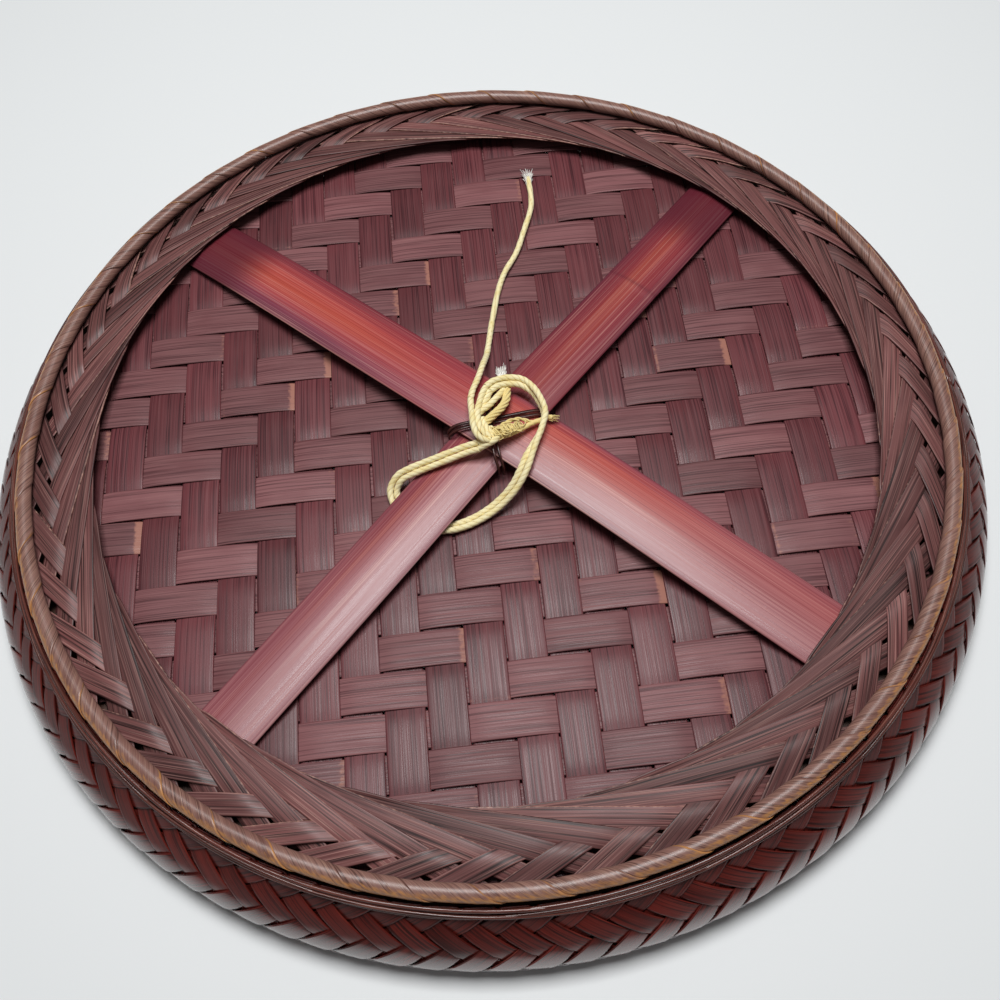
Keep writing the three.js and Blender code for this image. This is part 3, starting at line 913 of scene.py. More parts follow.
@dataclass
class TieCord:
    """Twisted cotton cord: a doubled loop round the lower slat, a knot on the crossing and a tail."""

    diameter: float = 3.0 * MM
    spacing: float = 3.1 * MM
    plies: int = 3
    lay_length: float = 9.5 * MM
    groove: float = 0.14
    sides: int = 18
    per_span: int = 8
    crest_power: float = 0.7
    crest_height: float = 1.08
    unevenness: float = 0.05
    uneven_waves: Pair = (610, 173)
    stack_from: float = 17 * MM
    stack_full: float = 26 * MM
    stack_rise: float = 1.4 * MM
    stack_close: float = 0.85
    strand_lift: float = 0.25
    fibre_radius: float = 0.2 * MM
    fibre_taper: float = 0.4
    fibre_crest: float = 0.9
    fibre_sides: int = 4
    fibre_lengths: Pair = (0.7, 1.05)
    lean_height: float = 0.6
    bend_height: float = 0.5
    root_spread: float = 0.45
    thread_crest: float = 0.85
    thread_sides: int = 6
    bundle: tuple[Winding, ...] = tuple(
        Winding((1.3 * MM, 1.3 * MM), 1.4, number * FULL_TURN / 6, 0.72 * MM) for number in range(6)
    )
    coil: tuple[Winding, ...] = (
        Winding((3.0 * MM, 1.8 * MM), 6.5, 0.0, 0.42 * MM),
        Winding((2.5 * MM, 1.5 * MM), 5.5, 2.3, 0.42 * MM),
        Winding((2.0 * MM, 1.2 * MM), 4.5, 4.6, 0.42 * MM),
    )
    coil_steps: int = 32
    arch: tuple[Winding, ...] = (
        Winding((0.5 * MM, 0.4 * MM), 2.5, 0.0, 0.504 * MM),
        Winding((0.5 * MM, 0.4 * MM), 2.5, math.pi, 0.504 * MM),
    )
    curl_count: int = 70
    curl_points: int = 6
    curl_radius: Pair = (1.0 * MM, 2.4 * MM)
    curl_turn: float = 1.1
    curl_tilt: Pair = (0.5, 0.7)
    curl_lift: Vector = field(default_factory=lambda: Vector((0, 0, 0.8 * MM)))
    curl_drift: tuple[Pair, ...] = ((-3, 3), (-2.5, 2), (-0.2, 1.6))
    curl_thickness: float = 1.3
    curl_crest: float = 0.8
    stub_thickness: float = 0.8
    stub_crest: float = 0.7
    short_shift: Vector = field(default_factory=lambda: Vector((-0.9, 0, 0.4)) * MM)
    short_tuft: Tuft = Tuft(back=1 * MM, reach=5 * MM, splay=0.2, count=210)
    stub_tuft: Tuft = Tuft(back=1 * MM, reach=1.8 * MM, splay=0.25, count=36, tone=YELLOW_TONE)
    tail_tuft: Tuft = Tuft(back=4 * MM, reach=3 * MM, splay=0.25, count=90)
    seed: int = 11
    tail_route: Route = (
        (-5.6, 1.4, 19.4), (-4.4, 7, 18.2), (-2.6, 12.4, 16.6), (-0.8, 18.2, 15), (0.8, 24.4, 13),
        (2.1, 30.6, 9), (3.2, 37.2, 4.4), (4.6, 46.1, 2.1), (7, 59.7, 1.9), (11.7, 80.6, 1.9),
        (15.2, 90.5, 1.9), (22, 103.2, 1.9), (27.3, 118.8, 1.9), (32.3, 136.2, 1.9), (32.1, 156.1, 1.9),
    )
    loop_route: Route = (
        (2.7, 6.6, 19), (6.4, 10, 18.2), (12, 11.5, 17.6), (18.3, 10.6, 17.2), (23.3, 6.2, 17),
        (26.9, -0.9, 16.7), (28.2, -7.4, 16.4), (26.4, -14.6, 16), (21.8, -23.6, 15.2), (18.4, -30.6, 14.2),
        (16, -35.6, 12.9), (12.6, -40.2, 9.6), (8, -44, 6), (2.8, -47.4, 3.2), (-3.8, -51.2, 2),
        (-10.7, -54.4, 1.9), (-18.3, -56, 1.9), (-26, -55.6, 1.9), (-33, -52.2, 1.9), (-38.6, -46.8, 1.9),
        (-43, -40.2, 1.9), (-43.5, -35.2, 3.8), (-40.2, -31.2, 7.4), (-34.4, -29.3, 9.4),
        (-28.6, -27.6, 10.4), (-22.4, -25.8, 11.2), (-15.4, -23.8, 12.2), (-8.8, -22.3, 13.6),
        (-3, -21.8, 15.2),
    )
    turn_routes: tuple[Route, ...] = (
        (
            (-5.6, 1.4, 19.4), (-5.5, -4.5, 20), (-5.2, -9.8, 20.6), (-4.8, -14.7, 20.6), (-3.3, -19, 20.2),
            (0.1, -21.3, 19), (3.8, -20.6, 17.5),
        ),
        (
            (1.8, 7.6, 19.3), (-0.2, 3.4, 19.4), (-1.8, -1.8, 19.4), (-2.8, -7.1, 19.8), (-2.5, -12.1, 19.8),
            (-1, -16.4, 19.4), (1.8, -19, 18.6), (5.3, -19.4, 17),
        ),
        ((3.6, 5.6, 18.7), (2.2, 2.4, 18.2), (0.2, -0.7, 17.8), (-1.6, -3.4, 17), (-2.9, -7.5, 15.8)),
        (
            (10.5, 15.4, 14.2), (10.6, 12, 14.6), (9.4, 7, 16), (5.7, 1.7, 17.4), (2.4, -2.4, 18.2),
            (-0.8, -5.2, 18.6), (-3.4, -7.3, 17.6),
        ),
        (
            (-2.9, -23.1, 14.9), (0.6, -22.4, 17), (4, -21.6, 18.3), (5.8, -19.6, 18.4), (4.9, -16.6, 17.6),
            (2.4, -13.4, 16.6),
        ),
        ((-3.1, -20.5, 15.5), (0, -20.4, 16.4), (4, -19, 16.8), (7, -17.6, 16.4)),
        ((-0.5, -8.5, 17.4), (0.4, -13.2, 18.2), (2.6, -16.8, 18.4), (6.2, -17.4, 17.4)),
    )
    stub_route: Route = (
        (5.4, -18.3, 16.2), (9.8, -17.9, 16.2), (14, -16.3, 16.2), (18.2, -13.9, 15.8), (22.5, -11.3, 15.2),
        (26.8, -9.4, 14.4), (29.9, -8.2, 14), (31.7, -8.4, 14),
    )
    bundle_route: Route = (
        (11.8, 11, 14.4), (11.5, 6.4, 15.2), (10.6, 0.9, 16.4), (8.3, -3.2, 17), (5.2, -6.4, 17.4),
        (2.1, -9.5, 17.6), (-0.7, -12.1, 17.2),
    )
    coil_route: Route = ((4.6, -18.4, 17.2), (8.1, -16.7, 17.8), (11.7, -15.5, 17.6), (16.5, -13.8, 16.6))
    arch_route: Route = (
        (6.8, -14.4, 17.4), (9.3, -12.5, 18.2), (13.2, -10.8, 18), (16.7, -10.2, 17.4), (20.2, -10.9, 16.4),
        (23.1, -11.3, 15.4),
    )

    def section(self, distance: float, angle: float) -> Pair:
        """Gives the twisted outline of the cord.

        Args:
            distance: Distance along the cord.
            angle: Angle round it.

        Returns:
            The radius there, and how near it is to the crest of a ply.
        """
        turned = angle - FULL_TURN * distance / self.lay_length
        crest = abs(math.cos(self.plies * turned / 2)) ** self.crest_power
        long_wave, short_wave = (math.sin(distance * rate) for rate in self.uneven_waves)
        uneven = 1 + self.unevenness * long_wave * short_wave
        # The crest value sets the painted groove shade in the cord's finish.
        return self.diameter / 2 * (1 - self.groove + self.groove * crest * self.crest_height) * uneven, crest

    def stub_section(self, distance: float, angle: float) -> Pair:
        """Gives the outline of the thinner, evenly lit stub."""
        return self.section(distance, angle)[0] * self.stub_thickness, self.stub_crest

    def curl_section(self, _distance: float, _angle: float) -> Pair:
        """Gives the even outline of a curly thread."""
        return self.fibre_radius * self.curl_thickness, self.curl_crest

    def strand_points(self, sideways: float) -> list[Vector]:
        """Gives one strand of the doubled loop; at its far right the strands lie on each other.

        Args:
            sideways: Distance in plan from the middle of the pair, to the left of the way it runs.

        Returns:
            The strand's route points.
        """
        points = above_mat(self.loop_route)
        moved = []
        for index, point in enumerate(points):
            before = points[max(index - 1, 0)]
            after = points[min(index + 1, len(points) - 1)]
            heading = (after - before).xy.normalized()
            stacked = ease(self.stack_from, self.stack_full, point.x)
            shift = sideways * (1 - self.stack_close * stacked)
            rise = sideways * self.strand_lift + math.copysign(self.stack_rise, sideways) * stacked
            moved.append(point + Vector((-heading.y * shift, heading.x * shift, rise)))
        return moved

    def build_strand(
        self, name: str, points: list[Vector], node: str, material: Material
    ) -> tuple[bpy.types.Object, list[Vector]]:
        """Builds one cord as a twisted tube.

        Args:
            name: The piece's name.
            points: Route points.
            node: CAD node that it takes the place of.
            material: Its material.

        Returns:
            The piece and the line that it follows.
        """
        line = smooth_route(points, self.per_span)
        mesh = PieceMesh(name)
        mesh.add_tube(line, self.sides, PLAIN_TONE, self.section)
        return mesh.finish(material, Slot.CORD, (node,)), line

    def add_tuft(
        self, mesh: PieceMesh, rng: random.Random, tip: Vector, heading: Vector, tuft: Tuft
    ) -> None:
        """Adds a frayed end of loose fibres.

        Args:
            mesh: The mesh to add to.
            rng: Source of the fibres' differences.
            tip: End of the cord.
            heading: Direction in which the cord ends.
            tuft: Measures of the frayed end.
        """
        root = tip - heading * tuft.back
        reach = tuft.back + tuft.reach

        def section(along: float, _angle: float) -> Pair:
            """Gives the outline of a fibre, thinner towards its tip."""
            return self.fibre_radius * (1 - self.fibre_taper * along / reach), self.fibre_crest

        for _ in range(tuft.count):
            lean = jitter(rng, self.lean_height)
            start = root + lean * self.diameter * self.root_spread
            length = reach * rng.uniform(*self.fibre_lengths)
            bend = jitter(rng, self.bend_height) * tuft.splay
            middle = start + (heading + lean * tuft.splay / 2) * length / 2
            end = start + (heading + lean * tuft.splay + bend / 2) * length
            mesh.add_tube(smooth_route([start, middle, end], 3), self.fibre_sides, tuft.tone, section)

    def add_curls(self, mesh: PieceMesh, rng: random.Random, line: list[Vector]) -> None:
        """Adds curly threads that have come loose along a cord.

        Args:
            mesh: The mesh to add to.
            rng: Source of the threads' differences.
            line: Line of the cord that they come from.
        """
        tilt, tilt_rate = self.curl_tilt
        for _ in range(self.curl_count):
            spot = rng.choice(line)
            radius = rng.uniform(*self.curl_radius)
            turn = rng.uniform(0, FULL_TURN)
            drift = Vector([rng.uniform(low, high) for low, high in self.curl_drift]) * MM
            points = []
            for step in range(self.curl_points):
                angle = turn + step * self.curl_turn
                circle = polar(radius, angle, radius * tilt * math.sin(angle * tilt_rate))
                points.append(spot + drift * (step / (self.curl_points - 1)) + circle + self.curl_lift)
            mesh.add_tube(smooth_route(points, 2), self.fibre_sides, YELLOW_TONE, self.curl_section)

    def add_wound(self, mesh: PieceMesh, line: list[Vector], winding: Winding) -> None:
        """Adds a yellowed thread that winds round a line.

        Args:
            mesh: The mesh to add to.
            line: Line that the thread winds round.
            winding: How it winds.
        """
        rows = PieceMesh.frames(line)
        first, last = winding.reach
        wound = []
        for index, (point, side, up, _) in enumerate(rows):
            share = index / (len(rows) - 1)
            angle = winding.phase + FULL_TURN * winding.turns * share
            away = first + (last - first) * share
            wound.append(point + (side * math.cos(angle) + up * math.sin(angle)) * away)
        outline = (winding.radius, self.thread_crest)
        mesh.add_tube(wound, self.thread_sides, YELLOW_TONE, lambda _along, _angle: outline)

    def build_knot(self, material: Material, rng: random.Random) -> bpy.types.Object:
        """Builds the knot's turns, its two short ends and the thread that has come loose beside it.

        Args:
            material: The cord's material.
            rng: Source of the threads' differences.

        Returns:
            The finished piece.
        """
        knot = PieceMesh("knot_turns")
        for route in self.turn_routes:
            knot.add_tube(smooth_route(above_mat(route), self.per_span), self.sides, PLAIN_TONE, self.section)
        stub = smooth_route(above_mat(self.stub_route), self.per_span)
        knot.add_tube(stub, self.sides, YELLOW_TONE, self.stub_section)
        coil_line = smooth_route(above_mat(self.coil_route), self.coil_steps)
        wound = (
            (smooth_route(above_mat(self.bundle_route), self.per_span), self.bundle),
            (coil_line, self.coil),
            (smooth_route(above_mat(self.arch_route), self.per_span), self.arch),
        )
        for line, windings in wound:
            for winding in windings:
                self.add_wound(knot, line, winding)
        self.add_curls(knot, rng, coil_line)
        short_end, short_next = above_mat(self.turn_routes[3][:2])
        short_heading = (short_end - short_next).normalized()
        self.add_tuft(knot, rng, short_end + self.short_shift, short_heading, self.short_tuft)
        self.add_tuft(knot, rng, stub[-1], (stub[-1] - stub[-4]).normalized(), self.stub_tuft)
        return knot.finish(material, Slot.CORD, ("cord_knot",))

    def build(self, material: Material) -> None:
        """Builds the cords, the knot and the frayed ends.

        Args:
            material: The cord's material.
        """
        rng = random.Random(self.seed)
        for name, sign in (("outer", 1), ("inner", -1)):
            points = self.strand_points(sign * self.spacing / 2)
            piece, line = self.build_strand(f"loop_{name}", points, f"cord_loop_{name}", material)
        tail_points = above_mat(self.tail_route)
        tail, tail_line = self.build_strand("tail", tail_points, "cord_tail", material)
        fray = PieceMesh("tail_fray")
        tip = tail_line[-1]
        self.add_tuft(fray, rng, tip, (tip - tail_line[-3]).normalized(), self.tail_tuft)
        fray_piece = fray.finish(material, Slot.CORD, ())
        knot_piece = self.build_knot(material, rng)


@dataclass(frozen=True)
class PaleFloatEnd:
    """Paler end of a float, from real rubbing, and from painted sheen on the warps' near ends: where it grows
    along the weave, where it may show, and how strong it is.
    """

    grows: Pair
    shows: Pair
    share: float

    def at(self, part: float) -> float:
        """Gives the paleness at a place in the weave's repeat."""
        low, high = self.shows
        return ease(*self.grows, part) * self.share if low <= part <= high else 0.0


@dataclass(frozen=True)
class MatWay:
    """Strips of the mat that run one way; across is 1 for those across the photograph, else -1."""

    label: str
    slot: Slot
    across: int
    width: float
    pitch: float
    shift: float
    pale_start: PaleFloatEnd
    pale_end: PaleFloatEnd
    edge_share: float


@dataclass
class BaseMat:
    """Twill of flat strips: each passes over two strips of the other way and under two."""

    warp: MatWay = MatWay(
        label="warp",
        slot=Slot.WARP,
        across=-1,
        width=17.5 * MM,
        pitch=17.87 * MM,
        shift=0.4,
        pale_start=PaleFloatEnd(grows=(2.18, 2.02), shows=(1.9, WEAVE_REPEAT), share=0.55),
        # Near end of each warp float, where it bends down: painted sheen, with some real rubbing.
        pale_end=PaleFloatEnd(grows=(3.75, 3.98), shows=(0, WEAVE_REPEAT), share=0.6),
        edge_share=1.0,
    )
    weft: MatWay = MatWay(
        label="weft",
        slot=Slot.WEFT,
        across=1,
        width=16.8 * MM,
        pitch=17.35 * MM,
        shift=-0.4,
        pale_start=PaleFloatEnd(grows=(0.22, 0.03), shows=(0, WEAVE_REPEAT), share=0.7),
        pale_end=PaleFloatEnd(grows=(1.70, 1.95), shows=(0, 2.2), share=1.0),
        edge_share=0.0,
    )
    reach: float = 212 * MM
    rim_share: float = 0.99
    shown_margin: float = 8.1 * MM
    turn: float = math.radians(2.5)
    middle: float = 31.65 * MM
    rise: float = 0.92 * MM
    thickness: float = 0.55 * MM
    flatness: float = 1.9
    first_stage: float = 1.5
    crown: float = 0.14 * MM
    edge_drop: float = 0.16 * MM
    edge_power: int = 12
    width_play: float = 1.1 * MM
    sway: float = 0.3 * MM
    sway_rate: float = 21
    float_count: int = 40
    pale_powers: tuple[int, int] = (4, 3)
    edge_paleness: Pair = (0.1, 0.6)
    edge_ends: Pair = (0.9, 1.0)
    step: float = 2.2 * MM
    columns: tuple[float, ...] = (-1.0, -0.95, -0.8, -0.3, 0.3, 0.8, 0.95, 1.0)
    seed: int = 5

    def shown(self, way: MatWay) -> list[tuple[int, float, float]]:
        """Finds the strips of one way that show inside the collar.

        Args:
            way: The way that they run.

        Returns:
            For each strip its index, its offset from the centre and its half length.
        """
        strips = []
        most = math.ceil(self.reach / way.pitch)
        for index in range(-most, most + 1):
            offset = (index + way.shift) * way.pitch
            if abs(offset) < OPENING_RADIUS + self.shown_margin:
                outer = min(abs(offset) + way.width / 2, self.reach * self.rim_share)
                strips.append((index, offset, math.sqrt(self.reach**2 - outer**2)))
        return strips

    def height(self, across: float, lift: float) -> float:
        """Gives the height of a point of a strip.

        Args:
            across: Place across the strip from -1 to 1.
            lift: How far the strip is over or under, from -1 to 1.

        Returns:
            The height of the strip's middle surface.
        """
        crowned = self.crown * (1 - across**2) - self.edge_drop * across**self.edge_power
        return self.middle + self.rise * lift + crowned

    def build_strip(
        self, name: str, ways: tuple[MatWay, MatWay], strip: tuple[int, float, float], rng: random.Random
    ) -> PieceMesh:
        """Builds one strip of the mat.

        Args:
            name: The piece's name.
            ways: The way that it runs and the way that it crosses.
            strip: Its index, offset and half length.
            rng: Source of its differences.

        Returns:
            The strip's mesh.
        """
        own, crossed = ways
        index, offset, half = strip
        width = own.width - rng.uniform(0, self.width_play)
        sway = rng.uniform(-self.sway, self.sway)
        phase = rng.uniform(0, FULL_TURN)
        pale_strengths = [[rng.random() ** power for power in self.pale_powers] for _ in range(self.float_count)]
        edge_paleness = rng.uniform(*self.edge_paleness) * own.edge_share
        turn = Matrix.Rotation(self.turn, 3, "Z")

        def place(along: float, across: float) -> Placed:
            """Places a point of the strip.

            Args:
                along: Share of the strip's length.
                across: Place across it from -1 to 1.

            Returns:
                The point and its marks value: paler float ends and edges, with painted sheen at the warps'
                    near ends.
            """
            distance = (2 * along - 1) * half
            crossing = distance / crossed.pitch - crossed.shift
            stage = own.across * (crossing - index) + self.first_stage
            lift = weave(stage, self.flatness) * own.across
            sideways = offset + across * width / 2 + sway * math.sin(distance * self.sway_rate + phase)
            x, y = (distance, sideways) if own.across > 0 else (sideways, distance)
            point = turn @ Vector((x, y, self.height(across, lift)))
            # Paler float ends: real rubbing, and painted sheen at the warps' near ends.
            start_strength, end_strength = pale_strengths[int(stage // WEAVE_REPEAT) % self.float_count]
            part = stage % WEAVE_REPEAT
            marks_and_light = max(own.pale_start.at(part) * start_strength, own.pale_end.at(part) * end_strength)
            return point, max(marks_and_light, ease(*self.edge_ends, across) * edge_paleness)

        mesh = PieceMesh(name)
        mesh.add_strip(round(2 * half / self.step), self.columns, (2 * half, width), rng.random(), place)
        return mesh

    def build(self, warp: Material, weft: Material) -> None:
        """Builds both ways of the mat.

        Args:
            warp: Material of the strips that run away from the viewer.
            weft: Material of the strips that run across.
        """
        rng = random.Random(self.seed)
        for ways, material in (((self.warp, self.weft), warp), ((self.weft, self.warp), weft)):
            own = ways[0]
            for number, strip in enumerate(self.shown(own), 1):
                mesh = self.build_strip(f"{own.label}_strip_{number:02d}", ways, strip, rng)
                mesh.finish(material, own.slot, (f"mat_{own.label}_{number:02d}",), self.thickness)


@dataclass
class Collar:
    """Ring of straight strips tangent to the opening, each lapping the next and tied down by short floats."""

    count: int = 50
    width: float = 8.7 * MM
    width_play: Pair = (-0.6 * MM, 0.5 * MM)
    thickness: float = 0.6 * MM
    stack: float = 1.0 * MM
    stack_depth: float = 3.0 * MM
    float_depth: float = 0.55
    float_lead: Pair = (3.3, 0.4)
    change_span: float = 0.34
    edge_top: float = 41.5 * MM
    shoulder_radius: float = 205 * MM
    shoulder_lead: float = 2 * MM
    shoulder_drop: float = 1.6 * MM
    foot_radius: float = 214.5 * MM
    foot_drop: float = 2.4 * MM
    half_length: float = 112 * MM
    end_radius: float = 216.5 * MM
    turn_over: float = 6.0
    turn_over_play: float = 0.1
    tangent_play: float = 0.5 * MM
    angle_play: float = 0.05
    # Paler inner edge of each strip: partly real rubbing, partly painted highlight on the exposed edge.
    edge_paleness: Pair = (0.1, 0.75)
    edge_ends: Pair = (-0.75, -1.0)
    half_way: float = 30 * MM
    dip: float = 0.7 * MM
    float_rise: float = 0.25 * MM
    crown: float = 0.4 * MM
    steps: int = 76
    columns: tuple[float, ...] = (-1.0, -0.88, -0.3, 0.3, 0.88, 1.0)
    seed: int = 23

    def top(self, radius: float) -> float:
        """Gives the height of the collar's upper side.

        Args:
            radius: Distance from the tray's axis.

        Returns:
            The height there.
        """
        slope = (radius - OPENING_RADIUS) / (self.shoulder_radius - OPENING_RADIUS)
        fall = ease(self.shoulder_radius - self.shoulder_lead, self.foot_radius, radius)
        return self.edge_top - self.shoulder_drop * slope - self.foot_drop * fall

    def build(self, material: Material) -> None:
        """Builds the collar.

        Args:
            material: The collar's material.
        """
        rng = random.Random(self.seed)
        pitch = FULL_TURN / self.count
        mesh = PieceMesh("collar_strips")
        for number in range(self.count):
            width = self.width + rng.uniform(*self.width_play)
            tangent = OPENING_RADIUS + self.width / 2 + rng.uniform(-self.tangent_play, self.tangent_play)
            angle = pitch * (number + rng.uniform(-self.angle_play, self.angle_play))
            edge_paleness = rng.uniform(*self.edge_paleness)
            change = self.turn_over + rng.uniform(-self.turn_over_play, self.turn_over_play)

            def place(along: float, across: float) -> Placed:
                """Places a point of the strip.

                Args:
                    along: Share of the strip's length.
                    across: Place across it from -1 to 1.

                Returns:
                    The point and its marks value: a paler inner edge, partly real rubbing and partly painted
                        highlight.
                """
                distance = (2 * along - 1) * self.half_length
                outward = tangent + across * width / 2
                radius = min(math.hypot(distance, outward), self.end_radius)
                turned = math.atan2(distance, outward)
                inner_turn = math.acos(min(1.0, OPENING_RADIUS / radius))
                lap = (inner_turn - turned) / pitch * self.stack
                depth = self.stack_depth * math.tanh(max(lap, -self.stack) / self.stack_depth)
                crossing = (abs(turned) + math.acos(min(1.0, tangent / radius))) / pitch
                over = ease(change - self.change_span, change + self.change_span, crossing)
                if turned < 0:
                    start, end = self.float_lead
                    depth *= 1 - (1 - self.float_depth) * ease(change - start, change - end, crossing)
                height = self.top(radius) - depth - self.crown * across**2
                if turned > 0:
                    height -= self.dip * over
                else:
                    height += (self.top(radius) + self.float_rise - height) * over
                stagger = pitch / 2 * ease(0.0, -self.half_way, distance)
                # Painted highlight, with some real rubbing, along the exposed inner edge.
                marks_and_light = edge_paleness * ease(*self.edge_ends, across)
                return polar(radius, angle + turned + stagger, height), marks_and_light

            mesh.add_strip(self.steps, self.columns, (2 * self.half_length, width), rng.random(), place)
        mesh.finish(material, Slot.COLLAR, ("collar",), self.thickness)


@dataclass
class SideWall:
    """Herringbone skin of diagonal strips that flares out, folds round the mouth hoop and ends in a hem."""

    count: int = 100
    level: float = 6.2 * MM
    cover: float = 0.88
    cover_play: Pair = (-0.05, 0.03)
    slip: float = 0.04
    thickness: float = 0.6 * MM
    rise: float = 0.74 * MM
    flatness: float = 1.7
    mouth_radius: float = 240 * MM
    hang: float = 1.1 * MM
    top_radius: float = 220.1 * MM
    top_height: float = 36.1 * MM
    bulge_height: float = 16.5 * MM
    fold_radius: float = 5.6 * MM
    fold_depth: float = 10.5 * MM
    fold_flat: float = 2 * MM
    hem_height: float = 8 * MM
    first_turn: float = 1.5
    flare_points: int = 24
    fold_points: int = 8
    end_share: float = 0.9999
    lean_length: float = 1.5
    strip_width: float = 9.6 * MM
    edge_paleness: Pair = (0.0, 0.5)
    edge_ends: Pair = (0.8, 1.0)
    rows: int = 40
    columns: tuple[float, ...] = (-1.0, -0.85, 0.0, 0.85, 1.0)
    seed: int = 37

    def section(self) -> list[Vector]:
        """Draws the wall's section from under the foot hoop down to the hem.

        Returns:
            Points with the radius as X and the height as Z.
        """
        equator = self.mouth_radius - self.hang
        top = Vector((self.top_radius, 0, self.top_height))
        bulge = Vector((equator, 0, self.bulge_height))
        fold_start = Vector((equator, 0, self.hang + self.fold_depth))
        handles = (top.lerp(bulge, 2 / 3), fold_start.lerp(bulge, 2 / 3))
        line = interpolate_bezier(top, *handles, fold_start, self.flare_points)
        outer = equator - self.fold_radius
        quarters = ((outer, self.fold_depth, 0), (outer - self.fold_flat, self.fold_radius, 1))
        for centre, depth, quarter in quarters:
            for step in range(1, self.fold_points + 1):
                turn = -math.pi / 2 * (quarter + step / self.fold_points)
                height = self.hang + depth * (1 + math.sin(turn))
                line.append(Vector((centre + self.fold_radius * math.cos(turn), 0, height)))
        line.append(line[-1] + Vector((0, 0, self.hem_height)))
        return line

    def build_way(self, name: str, falls: bool, material: Material, rng: random.Random) -> None:
        """Builds all the strips that lean one way.

        Args:
            name: The piece's name.
            falls: Whether the strips run down as the angle grows.
            material: Their material.
            rng: Source of their differences.
        """
        line = self.section()
        marks = [0.0]
        for start, stop in zip(line, line[1:]):
            marks.append(marks[-1] + (stop - start).length)
        pitch = FULL_TURN / self.count
        sign = 1 if falls else -1
        mesh = PieceMesh(name)
        for number in range(self.count):
            cover = self.cover + rng.uniform(*self.cover_play)
            slip = rng.uniform(-self.slip, self.slip)
            edge_paleness = rng.uniform(*self.edge_paleness)

            def place(along: float, across: float) -> Placed:
                """Places a point of the strip.

                Args:
                    along: Share of the strip's length.
                    across: Place across it from -1 to 1.

                Returns:
                    The point and its wear.
                """
                down = min(along * marks[-1], marks[-1] * self.end_share)
                span = bisect.bisect_right(marks, down) - 1
                heading = (line[span + 1] - line[span]).normalized()
                point = line[span] + heading * (down - marks[span])
                own = number + slip + across * cover / 2
                other = own + sign * down / self.level
                lift = weave(sign * (other - number) - self.first_turn, self.flatness) * sign
                point = point + Vector((-heading.z, 0, heading.x)) * self.rise * lift
                marks_and_light = edge_paleness * ease(*self.edge_ends, abs(across))
                return polar(point.x, pitch * (own + other) / 2, point.z), marks_and_light

            size = (marks[-1] * self.lean_length, self.strip_width)
            mesh.add_strip(self.rows, self.columns, size, rng.random(), place)
        mesh.finish(material, Slot.WALL, ("side_wall",), self.thickness)

    def build(self, material: Material) -> None:
        """Builds the wall.

        Args:
            material: The wall's material.
        """
        rng = random.Random(self.seed)
        self.build_way("wall_strips_falling", True, material, rng)
        self.build_way("wall_strips_rising", False, material, rng)


